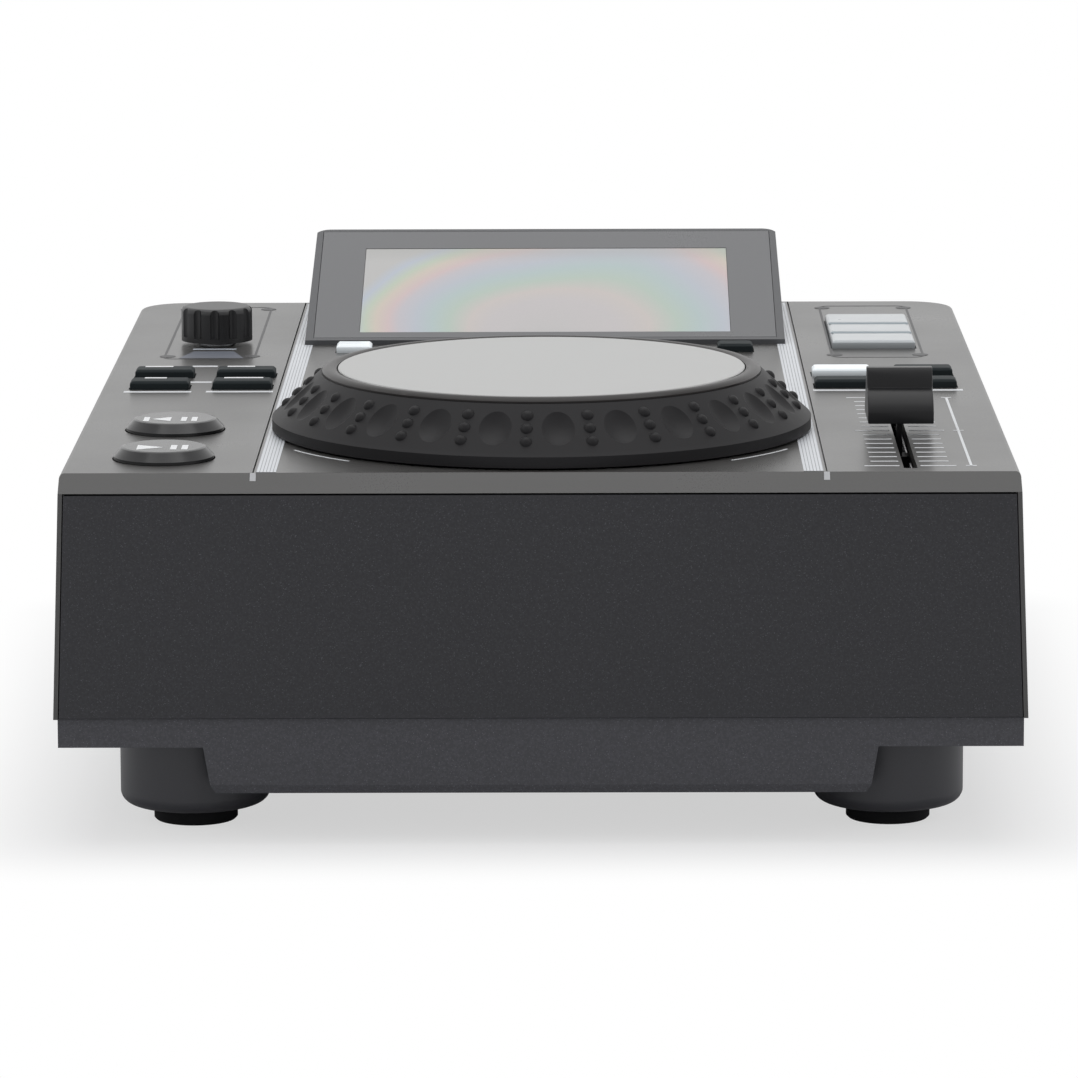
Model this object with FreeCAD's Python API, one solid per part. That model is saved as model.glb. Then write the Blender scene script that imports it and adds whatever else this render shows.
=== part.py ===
"""Tabletop deck player: jog wheel, tilted screen pod, pitch fader and push buttons in a moulded housing.

Millimetres, +Z up. The origin is the middle of the footprint on the table, and the front faces -Y.
"""
import FreeCAD, Part
import math
import os

V = FreeCAD.Vector
UP = V(0, 0, 1)

# Housing
body_depth = 279.7
jack_reach = 3.3
cover_width_top = 212.3
cover_width_bottom = 216.2
cover_height = 54.8
cover_wall = 2.4
cover_top = 2.6
rear_corner_radius = 12.0
top_edge_round = 1.1
lip_run = 4.0
lip_drop = 4.0
lip_beam_depth = 7.0
lip_notch_width = 1.4
lip_notch_depth = 1.6

# Feet and tray
pad_drop = 4.0
foot_height = 18.2
foot_diameter = 34.0
foot_round = 3.0
foot_inset_x = 29.6
foot_inset_front = 30.0
foot_inset_rear = 31.0
pad_diameter = 19.0
pad_seat = 1.5
tray_band_height = 6.5
tray_band_inset = 0.9
tray_wall = 2.0
tray_upstand = 4.8
tray_step_width = 150.0
tray_step_draft = 1.5
tray_bevel = 2.05
tray_bevel_run = 1.1
tray_step_drop = 10.6
vent_count = 9
vent_length = 34.0
vent_width = 2.4
vent_pitch = 6.4

# Fits and gaps
seam_gap = 0.45
side_gap = 0.25
press_gap = 0.30
running_gap = 0.05
lift_gap = 0.30

# Front fascia
fascia_thickness = 2.5
fascia_edge = 1.0
fascia_rib_depth = 4.0
fascia_rib_inset = 5.0

# Centre panel
panel_width = 126.4
panel_thickness = 0.8
panel_groove = 0.35
panel_rear_margin = 1.5

# Jog wheel
jog_back = 68.0
jog_flange_radius = 62.1
jog_lift = 0.5
jog_flange_height = 2.5
jog_cone_foot_radius = 61.3
jog_cone_top_radius = 50.9
jog_height = 12.7
jog_wall = 2.6
jog_bore_radius = 46.0
jog_ledge_drop = 2.4
trim_outer_radius = 50.5
trim_inner_radius = 47.15
trim_height = 1.2
plate_radius = 46.85
plate_thickness = 1.1
dimple_count = 25
dimple_start_deg = -85.8
dimple_width = 7.6
dimple_height = 9.6
dimple_depth = 1.1
bump_diameter = 2.8
bump_rise = 0.9
bump_spacing = 3.7
hub_web = 2.0
hub_boss_radius = 8.0
hub_rib_count = 6
hub_rib_width = 1.6
shaft_diameter = 6.0
bush_outer_diameter = 10.0
bush_flange_diameter = 14.0
bush_flange = 1.1
bush_length = 9.0
bearing_tube_diameter = 18.0
bearing_flange_diameter = 44.0
bearing_flange = 3.0
bearing_length = 23.6
bearing_rise = 0.1
clip_thickness = 0.8
clip_diameter = 12.0
encoder_disc_diameter = 40.0
encoder_disc_thickness = 0.8
encoder_hub_height = 3.8
encoder_slot_count = 24
encoder_slot_width = 1.4
encoder_slot_length = 4.0
sensor_board_width = 20.0
sensor_board_length = 28.0
sensor_board_reach = 2.0
sensor_post_reach = 8.0
sensor_post_aside = 9.0
sensor_fork_inner = 6.0
sensor_fork_outer = 4.5
sensor_fork_half = 4.0
sensor_slot_outer = 1.2
sensor_slot_gap = 0.9
sensor_drop = 3.4

# Screen pod
pod_to_rear = 79.0
pod_width = 120.6
pod_width_top = 119.7
pod_run = 72.3
pod_rise = 20.1
pod_lip = 1.2
pod_rear_slope = 3.5
pod_corner_radius = 4.0
pod_wall = 2.0
pod_floor_margin = 3.3
bezel_margin = 1.6
bezel_thickness = 1.0
bezel_ledge = 1.0
window_width = 93.6
window_height = 56.2
window_start = 5.2
window_ledge = 1.0
lcd_width = 105.4
lcd_length = 64.0
lcd_start = 3.4
lcd_thickness = 3.4
bracket_thickness = 1.0
bracket_margin = 4.0
bracket_post_diameter = 3.6

# Round transport buttons
transport_diameter = 22.6
transport_top_diameter = 19.0
transport_rise = 2.6
transport_travel = 0.8
transport_x = -84.4
play_back = 24.8
cue_back = 65.6

# Pad buttons
pad_width = 14.2
pad_depth = 7.0
pad_rise = 2.0
pad_chamfer = 0.6
pad_travel = 0.6
pad_inner_x = 72.3
pad_pitch_x = 19.8
pads_behind_fader = 14.9
pad_pitch_y = 18.6
deck_button_count = 5
deck_button_width = 8.8
deck_pitch_x = 23.75
deck_to_pod = 10.1
mode_width = 20.8
mode_depth = 15.9
mode_rise = 2.0
mode_x = 82.2
mode_front_to_rear = 79.3
mode_pitch_y = 16.4
mode_count = 3

# Shared button parts
cap_wall = 1.4
cap_flange = 1.0
cap_flange_reach = 0.9
stem_width = 3.4

# Control board and switches
board_thickness = 1.6
board_drop = 8.4
switch_size = 6.0
switch_height = 2.6
plunger_diameter = 3.2
plunger_height = 0.7
stem_air = 0.05
board_post_diameter = 5.0
left_board_inner_x = 62.0
board_outer_x = 101.0
board_front_back = 12.0
board_rear_margin = 17.7
board_bridge_front = 10.6
board_bridge_rear = 6.4
right_board_to_pads = 9.0
post_behind_pads = 50.1

# Select encoder
select_x = -82.6
select_to_rear = 75.4
knob_diameter = 17.8
knob_height = 8.6
knob_gap = 1.0
knob_flute_count = 12
knob_flute_radius = 1.3
knob_shaft_diameter = 6.0
knob_shaft_bore = 6.2
knob_travel = 0.5
encoder_body_size = 12.0
encoder_body_height = 5.2
encoder_bush_diameter = 9.0

# Pitch fader
fader_from_side = 26.0
fader_front_gap = 7.2
fader_slot_width = 3.0
fader_slot_length = 105.8
fader_frame_width = 11.0
fader_frame_length = 108.4
fader_frame_height = 9.0
fader_frame_wall = 0.8
fader_rod_diameter = 2.0
fader_rod_spacing = 5.2
fader_block_length = 6.0
fader_lever_width = 1.2
fader_lever_length = 4.0
fader_cap_lift = 2.95
fader_cap_width = 15.0
fader_cap_length = 18.0
fader_cap_height = 11.7
fader_cap_skirt = 2.5
fader_cap_socket_depth = 5.0

# Rear panel and connectors
rear_window_width = 176.0
rear_window_bottom = 36.0
rear_window_top = 70.0
rear_collar_wall = 2.0
rear_plate_thickness = 1.2
rear_plate_recess = 5.3
rear_plate_overlap = 4.0
jack_x = -66.0
jack_pitch = 14.0
jack_barrel_diameter = 8.3
jack_core_diameter = 3.2
jack_hole_gap = 0.4
jack_collar_step = 0.6
jack_collar_proud = 0.2
jack_block_margin = 11.0
jack_block_height = 12.0
jack_block_depth = 10.0
jack_bore_depth = 7.5
jack_height = 52.0
usb_b_x = -18.0
usb_b_width = 12.0
usb_b_height = 10.8
usb_b_opening = 8.4
usb_a_x = 12.0
usb_a_width = 14.4
usb_a_height = 7.6
usb_a_wall = 0.6
usb_depth = 14.0
inlet_x = 42.0
inlet_size = 11.0
inlet_bore_diameter = 6.4
inlet_pin_diameter = 2.0
inlet_bore_depth = 9.5
switch_x = 70.0
rocker_width = 8.6
rocker_radius = 8.0
rocker_tilt = 9.0
rocker_gap = 0.35
switch_body_width = 13.0
switch_body_height = 21.0
switch_bezel = 1.2
switch_body_depth = 16.0
rocker_pivot_drop = 5.0

# Main board
main_board_width = 132.0
main_board_length = 104.0
main_board_to_rear = 119.7
standoff_height = 8.0
standoff_diameter = 6.0
standoff_margin = 5.0
chip_large = 20.0
chip_small = 10.0
chip_height = 1.4
can_diameter = 8.0
can_height = 9.0

# Screws
screw_head_diameter = 5.6
screw_head_height = 1.4
screw_shank_diameter = 2.9
screw_length = 11.0
boss_diameter = 7.0
boss_from_side = 9.6
boss_front_back = 45.2
boss_behind_pads = 41.5
boss_rear_margin = 17.7

# Levels and places that follow from the sizes above
overall_depth = body_depth + jack_reach
front_y = -overall_depth / 2
body_rear_y = front_y + body_depth
tray_band_z = pad_drop + foot_height
tray_bottom_z = tray_band_z - tray_step_drop
cover_bottom_z = tray_band_z + tray_band_height
top_z = cover_bottom_z + cover_height
under_top_z = top_z - cover_top
jog_y = front_y + jog_back
fader_x = cover_width_bottom / 2 - fader_from_side
fader_back = fader_front_gap + fader_frame_length / 2
pad_front_back = fader_front_gap + fader_frame_length + pads_behind_fader
pod_back = body_depth - pod_to_rear
deck_back = pod_back - deck_to_pod
mode_front_back = body_depth - mode_front_to_rear
select_back = body_depth - select_to_rear
board_rear_back = body_depth - board_rear_margin
board_bridge_front_back = deck_back - board_bridge_front
board_bridge_rear_back = deck_back + board_bridge_rear
right_board_front_back = pad_front_back - right_board_to_pads
main_board_back = body_depth - main_board_to_rear
boss_x = cover_width_bottom / 2 - boss_from_side
boss_backs = (boss_front_back, pad_front_back + boss_behind_pads, body_depth - boss_rear_margin)
jog_base_z = top_z + jog_lift
jog_land_z = jog_base_z + jog_height
board_top_z = under_top_z - board_drop
plunger_top_z = board_top_z + switch_height + plunger_height
pod_y = front_y + pod_back
pod_tilt = math.degrees(math.atan2(pod_rise - pod_lip, pod_run))
pod_face_length = math.hypot(pod_run, pod_rise - pod_lip)
rear_plate_y = body_rear_y - rear_plate_recess


def at_back(distance):
    """Row Y of a place measured back from the front face."""
    return front_y + distance


def half_width(z):
    """Half of the drafted cover's width at height z."""
    share = (z - cover_bottom_z) / cover_height
    return (cover_width_bottom + (cover_width_top - cover_width_bottom) * share) / 2


def block(x_low, x_high, y_low, y_high, z_low, z_high):
    """Box between two corners."""
    return Part.makeBox(x_high - x_low, y_high - y_low, z_high - z_low, V(x_low, y_low, z_low))


def centred_block(x, y, width, depth, z_low, z_high):
    """Box centred on x and y."""
    return block(x - width / 2, x + width / 2, y - depth / 2, y + depth / 2, z_low, z_high)


def rod(x, y, radius, z_low, z_high):
    """Upright cylinder."""
    return Part.makeCylinder(radius, z_high - z_low, V(x, y, z_low))


def rod_along_y(x, y_low, y_high, z, radius):
    """Cylinder that lies along Y."""
    return Part.makeCylinder(radius, y_high - y_low, V(x, y_low, z), V(0, 1, 0))


def polygon_face(points):
    """Flat face inside a closed polygon."""
    return Part.Face(Part.makePolygon([V(*point) for point in points] + [V(*points[0])]))


def turned(profile, x, y):
    """Solid of revolution about the upright axis at x, y; profile lists (radius, z)."""
    face = polygon_face([(x + radius, y, z) for radius, z in profile])
    return face.revolve(V(x, y, 0), UP, 360)


def side_prism(profile, x_low, x_high):
    """Solid with a profile of (y, z) points, extruded along X."""
    face = polygon_face([(x_low, y, z) for y, z in profile])
    return face.extrude(V(x_high - x_low, 0, 0))


def rounded_block(x, y, width, depth, z_low, z_high, radius):
    """Box centred on x and y with rounded upright edges."""
    solid = centred_block(x, y, width, depth, z_low, z_high)
    upright = [edge for edge in solid.Edges if abs(edge.tangentAt(0).z) > 0.99]
    return solid.makeFillet(radius, upright)


def joined(shapes):
    """Union of shapes as one clean solid."""
    first = shapes[0]
    return first.fuse(shapes[1:]).removeSplitter() if len(shapes) > 1 else first


def cut_by(shape, tools):
    """Shape with every tool taken away."""
    return shape.cut(tools) if tools else shape


def plan_wire(half_x, y_low, y_high, radius, z):
    """Housing outline seen from above: sharp front corners and round rear ones."""
    bend = radius * (1 - math.sqrt(0.5))
    front_left, front_right = V(-half_x, y_low, z), V(half_x, y_low, z)
    right_start, right_end = V(half_x, y_high - radius, z), V(half_x - radius, y_high, z)
    left_start, left_end = V(radius - half_x, y_high, z), V(-half_x, y_high - radius, z)
    right_middle = V(half_x - bend, y_high - bend, z)
    left_middle = V(bend - half_x, y_high - bend, z)
    edges = [
        Part.LineSegment(front_left, front_right).toShape(),
        Part.LineSegment(front_right, right_start).toShape(),
        Part.Arc(right_start, right_middle, right_end).toShape(),
        Part.LineSegment(right_end, left_start).toShape(),
        Part.Arc(left_start, left_middle, left_end).toShape(),
        Part.LineSegment(left_end, front_left).toShape(),
    ]
    return Part.Wire(edges)


def drafted_block(inset, y_low, z_low, z_high):
    """Block that follows the cover's drafted outline, inset by a wall."""
    radius = rear_corner_radius - min(inset, rear_corner_radius - 1.0)
    wires = [plan_wire(half_width(z) - inset, y_low, body_rear_y - inset, radius, z) for z in (z_low, z_high)]
    return Part.makeLoft(wires, True, True)


def pad_places():
    """Names and centres of the pad buttons, left block and right block."""
    places = {}
    for side_name, side in (("left", -1), ("right", 1)):
        for row, row_name in enumerate(("front", "rear")):
            for column, column_name in enumerate(("inner", "outer")):
                name = f"{side_name}_pad_{row_name}_{column_name}"
                x = side * (pad_inner_x + column * pad_pitch_x)
                places[name] = (x, at_back(pad_front_back + row * pad_pitch_y))
    return places


def deck_places():
    """Names and centres of the button row behind the jog wheel."""
    middle = (deck_button_count - 1) / 2
    return {f"deck_button_{index + 1}": ((index - middle) * deck_pitch_x, at_back(deck_back))
            for index in range(deck_button_count)}


def mode_places():
    """Names and centres of the long mode keys."""
    return {f"mode_button_{index + 1}": (mode_x, at_back(mode_front_back + index * mode_pitch_y))
            for index in range(mode_count)}


def round_places():
    """Names and centres of the round transport buttons."""
    return {"play_button": (transport_x, at_back(play_back)), "cue_button": (transport_x, at_back(cue_back))}


def board_post_places():
    """Centres of the spacers that carry the control board."""
    inner = left_board_inner_x + board_post_diameter
    outer = board_outer_x - board_post_diameter
    return [
        (-inner, at_back(board_front_back + board_post_diameter)),
        (-outer, at_back(cue_back + transport_diameter)),
        (-outer, at_back(pad_front_back + post_behind_pads)),
        (-inner, at_back(board_rear_back - board_post_diameter)),
        (inner, at_back(pad_front_back + post_behind_pads)),
        (outer, at_back(right_board_front_back + board_post_diameter - 2)),
        (inner, at_back(board_rear_back - board_post_diameter)),
    ]


def sensor_post_places():
    """Centres of the two spacers that carry the jog sensor board."""
    x = encoder_disc_diameter / 2 + sensor_post_reach
    return [(x, jog_y - sensor_post_aside), (x, jog_y + sensor_post_aside)]


def boss_places():
    """Centres of the case screw bosses."""
    return [(side * boss_x, at_back(back)) for back in boss_backs for side in (-1, 1)]


def foot_places():
    """Centres of the feet."""
    x = cover_width_bottom / 2 - foot_inset_x
    backs = (foot_inset_front, body_depth - foot_inset_rear)
    return [(side * x, at_back(back)) for back in backs for side in (-1, 1)]


def cap_opening(x, y, width, depth, z_low, z_high):
    """Cut for a rectangular cap with its press gap."""
    return centred_block(x, y, width + 2 * press_gap, depth + 2 * press_gap, z_low, z_high)


def cover_openings():
    """Everything cut through the top of the cover."""
    z_low, z_high = under_top_z - 1, top_z + 1
    tools = [rod(x, y, transport_diameter / 2 + press_gap, z_low, z_high) for x, y in round_places().values()]
    tools += [cap_opening(x, y, pad_width, pad_depth, z_low, z_high) for x, y in pad_places().values()]
    tools += [cap_opening(x, y, deck_button_width, pad_depth, z_low, z_high) for x, y in deck_places().values()]
    tools += [cap_opening(x, y, mode_width, mode_depth, z_low, z_high) for x, y in mode_places().values()]
    tools.append(centred_block(fader_x, at_back(fader_back), fader_slot_width, fader_slot_length, z_low, z_high))
    tools.append(rod(select_x, at_back(select_back), encoder_bush_diameter / 2 + side_gap, z_low, z_high))
    tools.append(rod(0, jog_y, bearing_tube_diameter / 2 + press_gap, z_low, z_high))
    tools.append(pod_floor_opening(z_low, z_high))
    return tools


def pod_floor_opening(z_low, z_high):
    """Opening under the pod that the screen dips through."""
    half = pod_width / 2 - pod_floor_margin
    return block(-half, half, pod_y + pod_floor_margin, pod_y + pod_run - 1, z_low, z_high)


def lip_cutter():
    """Wedge that bevels the front edge of the cover."""
    half = cover_width_bottom
    profile = [(front_y - 1, top_z + 1), (front_y + lip_run + 1, top_z + 1), (front_y + lip_run, top_z),
               (front_y, top_z - lip_drop), (front_y - 1, top_z - lip_drop)]
    return side_prism(profile, -half, half)


def lip_notches():
    """Small notches in the front edge where the panel grooves end."""
    x = panel_width / 2 + panel_groove / 2
    return [centred_block(side * x, front_y + lip_run - 1, lip_notch_width, 2.6, top_z - lip_notch_depth, top_z + 1)
            for side in (-1, 1)]


def round_top_edges(shell):
    """Soften the side and rear top edges of the cover."""
    picked = []
    for edge in shell.Edges:
        box = edge.BoundBox
        on_top = abs(box.ZMin - top_z) < 0.01 and abs(box.ZMax - top_z) < 0.01
        across_front = box.YMax < front_y + 0.1
        if on_top and not across_front:
            picked.append(edge)
    return shell.makeFillet(top_edge_round, picked)


def make_top_cover():
    """Moulded cover: top, sides and rear wall, open below and at the front."""
    outer = round_top_edges(drafted_block(0, front_y, cover_bottom_z, top_z))
    inner = drafted_block(cover_wall, front_y + lip_beam_depth, cover_bottom_z - 1, under_top_z)
    front_z = top_z - lip_drop
    deep = drafted_block(cover_wall, front_y - 1, cover_bottom_z - 1, front_z)
    deep = deep.common(block(-200, 200, front_y - 1, front_y + lip_beam_depth + 1, 0, 200))
    thin = drafted_block(fascia_edge, front_y - 1, cover_bottom_z - 1, front_z)
    thin = thin.common(block(-200, 200, front_y - 1, front_y + fascia_thickness + side_gap, 0, 200))
    recess = block(-panel_width / 2 - panel_groove, panel_width / 2 + panel_groove, front_y + lip_run,
                   body_rear_y - panel_rear_margin, top_z - panel_thickness, top_z + 1)
    tools = [inner, deep, thin, lip_cutter(), recess] + lip_notches() + cover_openings() + [rear_window()]
    shell = cut_by(outer, tools)
    return joined([shell, rear_collar()] + cover_bosses())


def rear_window():
    """Opening in the rear wall for the connector plate."""
    return block(-rear_window_width / 2, rear_window_width / 2, body_rear_y - cover_wall - 1, body_rear_y + 1,
                 rear_window_bottom, rear_window_top)


def rear_collar():
    """Frame that runs inwards from the rear window to the connector plate."""
    half = rear_window_width / 2
    wall = rear_collar_wall
    y_low, y_high = rear_plate_y, body_rear_y - cover_wall / 2
    outer = block(-half - wall, half + wall, y_low, y_high, rear_window_bottom - wall, rear_window_top + wall)
    return outer.cut(block(-half, half, y_low - 1, y_high + 1, rear_window_bottom, rear_window_top))


def cover_bosses():
    """Tall screw bosses under the cover."""
    floor_z = tray_band_z + tray_wall
    bosses = []
    for x, y in boss_places():
        boss = rod(x, y, boss_diameter / 2, floor_z, under_top_z)
        bosses.append(boss.cut(rod(x, y, screw_shank_diameter / 2, floor_z - 1, floor_z + screw_length)))
    return bosses


def make_board_spacers():
    """Spacers that hang the control board and the jog sensor board from the cover."""
    spacers = [rod(x, y, board_post_diameter / 2, board_top_z, under_top_z) for x, y in board_post_places()]
    spacers += [rod(x, y, board_post_diameter / 2, sensor_board_top(), under_top_z)
                for x, y in sensor_post_places()]
    return spacers


def make_centre_panel():
    """Thin plate set flush in the cover between the two long grooves."""
    z_low = top_z - panel_thickness
    plate = block(-panel_width / 2, panel_width / 2, front_y + lip_run + 0.1,
                  body_rear_y - panel_rear_margin - panel_groove, z_low, top_z)
    tools = [rod(0, jog_y, bearing_tube_diameter / 2 + press_gap, z_low - 1, top_z + 1)]
    tools += [cap_opening(x, y, deck_button_width, pad_depth, z_low - 1, top_z + 1)
              for x, y in deck_places().values()]
    tools.append(pod_floor_opening(z_low - 1, top_z + 1))
    return cut_by(plate, tools)


def fascia_outline(y, inset, z_low, z_high):
    """Trapezium that follows the drafted sides."""
    low, high = half_width(z_low) - inset, half_width(z_high) - inset
    return polygon_face([(-low, y, z_low), (low, y, z_low), (high, y, z_high), (-high, y, z_high)])


def make_front_fascia():
    """Separate front panel in its frame, with a stiffening rib ring behind."""
    z_low, z_high = cover_bottom_z + side_gap, top_z - lip_drop - seam_gap
    plate = fascia_outline(front_y, fascia_edge + side_gap, z_low, z_high).extrude(V(0, fascia_thickness, 0))
    rib_y = front_y + fascia_thickness
    rib_z_low = tray_band_z + tray_band_height + tray_upstand + 2 * side_gap
    outer = fascia_outline(rib_y, fascia_rib_inset, rib_z_low, z_high - 3).extrude(V(0, fascia_rib_depth, 0))
    inner_inset = fascia_rib_inset + tray_wall
    inner = fascia_outline(rib_y, inner_inset, rib_z_low + tray_wall, z_high - 5).extrude(V(0, fascia_rib_depth, 0))
    return joined([plate, outer.cut(inner)])


def tray_outline_block(inset, z_low, z_high):
    """Block that follows the tray rim."""
    half = half_width(cover_bottom_z) - tray_band_inset - inset
    radius = rear_corner_radius - tray_band_inset - inset
    y_low, y_high = front_y + tray_band_inset + inset, body_rear_y - tray_band_inset - inset
    low, high = (plan_wire(half, y_low, y_high, radius, z) for z in (z_low, z_high))
    return Part.makeLoft([low, high], True, True)


def step_wire(half, y_low, y_high, z):
    """Rectangle of the stepped tray at height z."""
    return Part.makePolygon([V(-half, y_low, z), V(half, y_low, z), V(half, y_high, z), V(-half, y_high, z),
                             V(-half, y_low, z)])


def tray_step_block(inset, floor_inset):
    """Deep middle part of the tray, drafted, with a bevelled bottom edge."""
    half = tray_step_width / 2 - inset
    y_low = front_y + tray_band_inset + inset
    y_high = body_rear_y - tray_band_inset - inset
    knee_z = tray_bottom_z + tray_bevel
    top_wire = step_wire(half, y_low, y_high, tray_band_z + (tray_wall + 1 if inset else 0))
    knee = step_wire(half - tray_step_draft, y_low, y_high, knee_z)
    if inset:
        low = step_wire(half - tray_step_draft, y_low, y_high, tray_bottom_z + floor_inset)
    else:
        low = step_wire(half - tray_step_draft - tray_bevel_run, y_low + tray_bevel_run, y_high - tray_bevel_run,
                        tray_bottom_z)
    lower = Part.makeLoft([low, knee], True, True)
    return lower.fuse(Part.makeLoft([knee, top_wire], True, True))


def foot_pocket(x, y, radius, z_low, z_high):
    """Round pocket that lets a foot into the side of the deep tray."""
    return rod(x, y, radius, z_low, z_high)


def tray_vents():
    """Slots in the deep tray's floor."""
    middle = (vent_count - 1) / 2
    tools = []
    for side in (-1, 1):
        for index in range(vent_count):
            y = (index - middle) * vent_pitch
            tools.append(centred_block(side * vent_length * 0.7, y, vent_length, vent_width,
                                       tray_bottom_z - 1, tray_bottom_z + tray_wall + 1))
    return tools


def screw_cuts():
    """Clearance holes and head recesses in the tray floor."""
    tools = []
    for x, y in boss_places():
        tools.append(rod(x, y, screw_shank_diameter / 2 + side_gap, tray_band_z - 1, tray_band_z + tray_wall + 1))
        tools.append(rod(x, y, screw_head_diameter / 2 + side_gap, tray_band_z - 1,
                         tray_band_z + screw_head_height))
    return tools


def make_bottom_tray():
    """Tray that closes the housing: shallow rim, deep middle and round pockets for the feet."""
    pocket = foot_diameter / 2 + 1.5
    rim = tray_outline_block(0, tray_band_z, cover_bottom_z)
    upstand_inset = cover_wall + side_gap - tray_band_inset
    upstand = tray_outline_block(upstand_inset, cover_bottom_z, cover_bottom_z + tray_upstand)
    rim_hollow = tray_outline_block(upstand_inset + tray_wall, tray_band_z + tray_wall,
                                    cover_bottom_z + tray_upstand + 1)
    step_outer = cut_by(tray_step_block(0, 0), [foot_pocket(x, y, pocket, 0, tray_band_z) for x, y in foot_places()])
    step_inner = tray_step_block(tray_wall, tray_wall)
    step_inner = cut_by(step_inner, [foot_pocket(x, y, pocket + tray_wall, 0, tray_band_z + tray_wall)
                                     for x, y in foot_places()])
    fascia_room = block(-half_width(cover_bottom_z), half_width(cover_bottom_z), front_y - 1,
                        front_y + fascia_thickness + side_gap, cover_bottom_z, top_z)
    shell = joined([rim, upstand, step_outer])
    return cut_by(shell, [rim_hollow, step_inner, fascia_room] + tray_vents() + screw_cuts())


def make_feet():
    """Round moulded feet with a shallow dish below for the pads."""
    feet = []
    for x, y in foot_places():
        foot = rod(x, y, foot_diameter / 2, pad_drop, tray_band_z)
        low_edge = [edge for edge in foot.Edges if abs(edge.BoundBox.ZMax - pad_drop) < 0.01]
        foot = foot.makeFillet(foot_round, low_edge)
        feet.append(foot.cut(rod(x, y, pad_diameter / 2, pad_drop - 1, pad_drop + pad_seat)))
    return feet


def make_foot_pads():
    """Rubber pads pressed into the feet."""
    pads = []
    for x, y in foot_places():
        pad = rod(x, y, pad_diameter / 2, 0, pad_drop + pad_seat)
        low_edge = [edge for edge in pad.Edges if abs(edge.BoundBox.ZMax) < 0.01]
        pads.append(pad.makeChamfer(0.5, low_edge))
    return pads


def make_case_screws():
    """Screws that hold the tray to the cover bosses."""
    screws = []
    for x, y in boss_places():
        head = rod(x, y, screw_head_diameter / 2, tray_band_z, tray_band_z + screw_head_height)
        drive = centred_block(x, y, 3.0, 0.8, tray_band_z - 0.1, tray_band_z + 0.7)
        drive = drive.fuse(centred_block(x, y, 0.8, 3.0, tray_band_z - 0.1, tray_band_z + 0.7))
        shank = rod(x, y, screw_shank_diameter / 2, tray_band_z + screw_head_height,
                    tray_band_z + tray_wall + screw_length - 1)
        screws.append(joined([head.cut(drive), shank]))
    return screws


def cone_line():
    """Foot and top of the jog wheel's outer cone as (radius, z)."""
    return (jog_cone_foot_radius, jog_base_z + jog_flange_height + 0.7), (jog_cone_top_radius, jog_land_z)


def cone_frame(share):
    """Point on the cone at a share of its length, its up-slope direction and outward normal, at angle 0."""
    (foot_r, foot_z), (top_r, top_z_value) = cone_line()
    run, rise = top_r - foot_r, top_z_value - foot_z
    length = math.hypot(run, rise)
    slope = V(run / length, 0, rise / length)
    normal = V(rise / length, 0, -run / length)
    point = V(foot_r + run * share, 0, foot_z + rise * share)
    return point, slope, normal


def dimple_cutter():
    """Barrel that hollows one oval finger dimple in the cone at angle 0."""
    across = (dimple_width ** 2 / 4 + dimple_depth ** 2) / (2 * dimple_depth)
    along = (dimple_height ** 2 / 4 + dimple_depth ** 2) / (2 * dimple_depth)
    half = dimple_height * 0.56
    end_radius = across - along + math.sqrt(along ** 2 - half ** 2)
    point, slope, normal = cone_frame(0.5)
    axis_point = point + normal * (across - dimple_depth)
    inward = normal * -1
    start = axis_point - slope * half
    stop = axis_point + slope * half
    edges = [
        Part.LineSegment(start, start + inward * end_radius).toShape(),
        Part.Arc(start + inward * end_radius, axis_point + inward * across, stop + inward * end_radius).toShape(),
        Part.LineSegment(stop + inward * end_radius, stop).toShape(),
        Part.LineSegment(stop, start).toShape(),
    ]
    return Part.Face(Part.Wire(edges)).revolve(axis_point, slope, 360)


def grip_bumps():
    """Three round grip bumps in a column on the cone, at angle 0."""
    (foot_r, foot_z), (top_r, top_z_value) = cone_line()
    length = math.hypot(top_r - foot_r, top_z_value - foot_z)
    radius = (bump_diameter ** 2 / 4 + bump_rise ** 2) / (2 * bump_rise)
    bumps = []
    for step in (-1, 0, 1):
        point, slope, normal = cone_frame(0.5 + step * bump_spacing / length)
        centre = point - normal * (radius - bump_rise)
        bumps.append(Part.makeSphere(radius, centre))
    return bumps


def round_jog(shape, degrees):
    """Copy of a shape made at the origin, turned and moved to the jog axis."""
    copy = shape.copy()
    copy.rotate(V(0, 0, 0), UP, degrees)
    copy.translate(V(0, jog_y, 0))
    return copy


def make_jog_ring():
    """Rubber-feel outer ring of the jog wheel: flange, cone, finger dimples and grip bumps."""
    (foot_r, foot_z), (top_r, land_z) = cone_line()
    point, slope, normal = cone_frame(0)
    inner_foot = point - normal * jog_wall
    ledge_z = land_z - jog_ledge_drop
    climb = (ledge_z - inner_foot.z) / slope.z
    ledge_r = inner_foot.x + slope.x * climb
    profile = [
        (inner_foot.x, jog_base_z), (jog_flange_radius, jog_base_z),
        (jog_flange_radius, jog_base_z + jog_flange_height), (foot_r, foot_z), (top_r, land_z),
        (jog_bore_radius, land_z), (jog_bore_radius, ledge_z), (ledge_r, ledge_z), (inner_foot.x, inner_foot.z),
    ]
    ring = turned(profile, 0, jog_y)
    pitch = 360 / dimple_count
    dimple = dimple_cutter()
    ring = ring.cut([round_jog(dimple, dimple_start_deg + index * pitch) for index in range(dimple_count)])
    bumps = []
    for index in range(dimple_count):
        bumps += [round_jog(bump, dimple_start_deg + (index + 0.5) * pitch) for bump in grip_bumps()]
    under = turned([(0.1, jog_base_z - 5), (inner_foot.x, jog_base_z - 5), (inner_foot.x, inner_foot.z),
                    (ledge_r, ledge_z), (0.1, ledge_z)], 0, jog_y)
    return ring.fuse([bump.cut(under) for bump in bumps])


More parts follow.
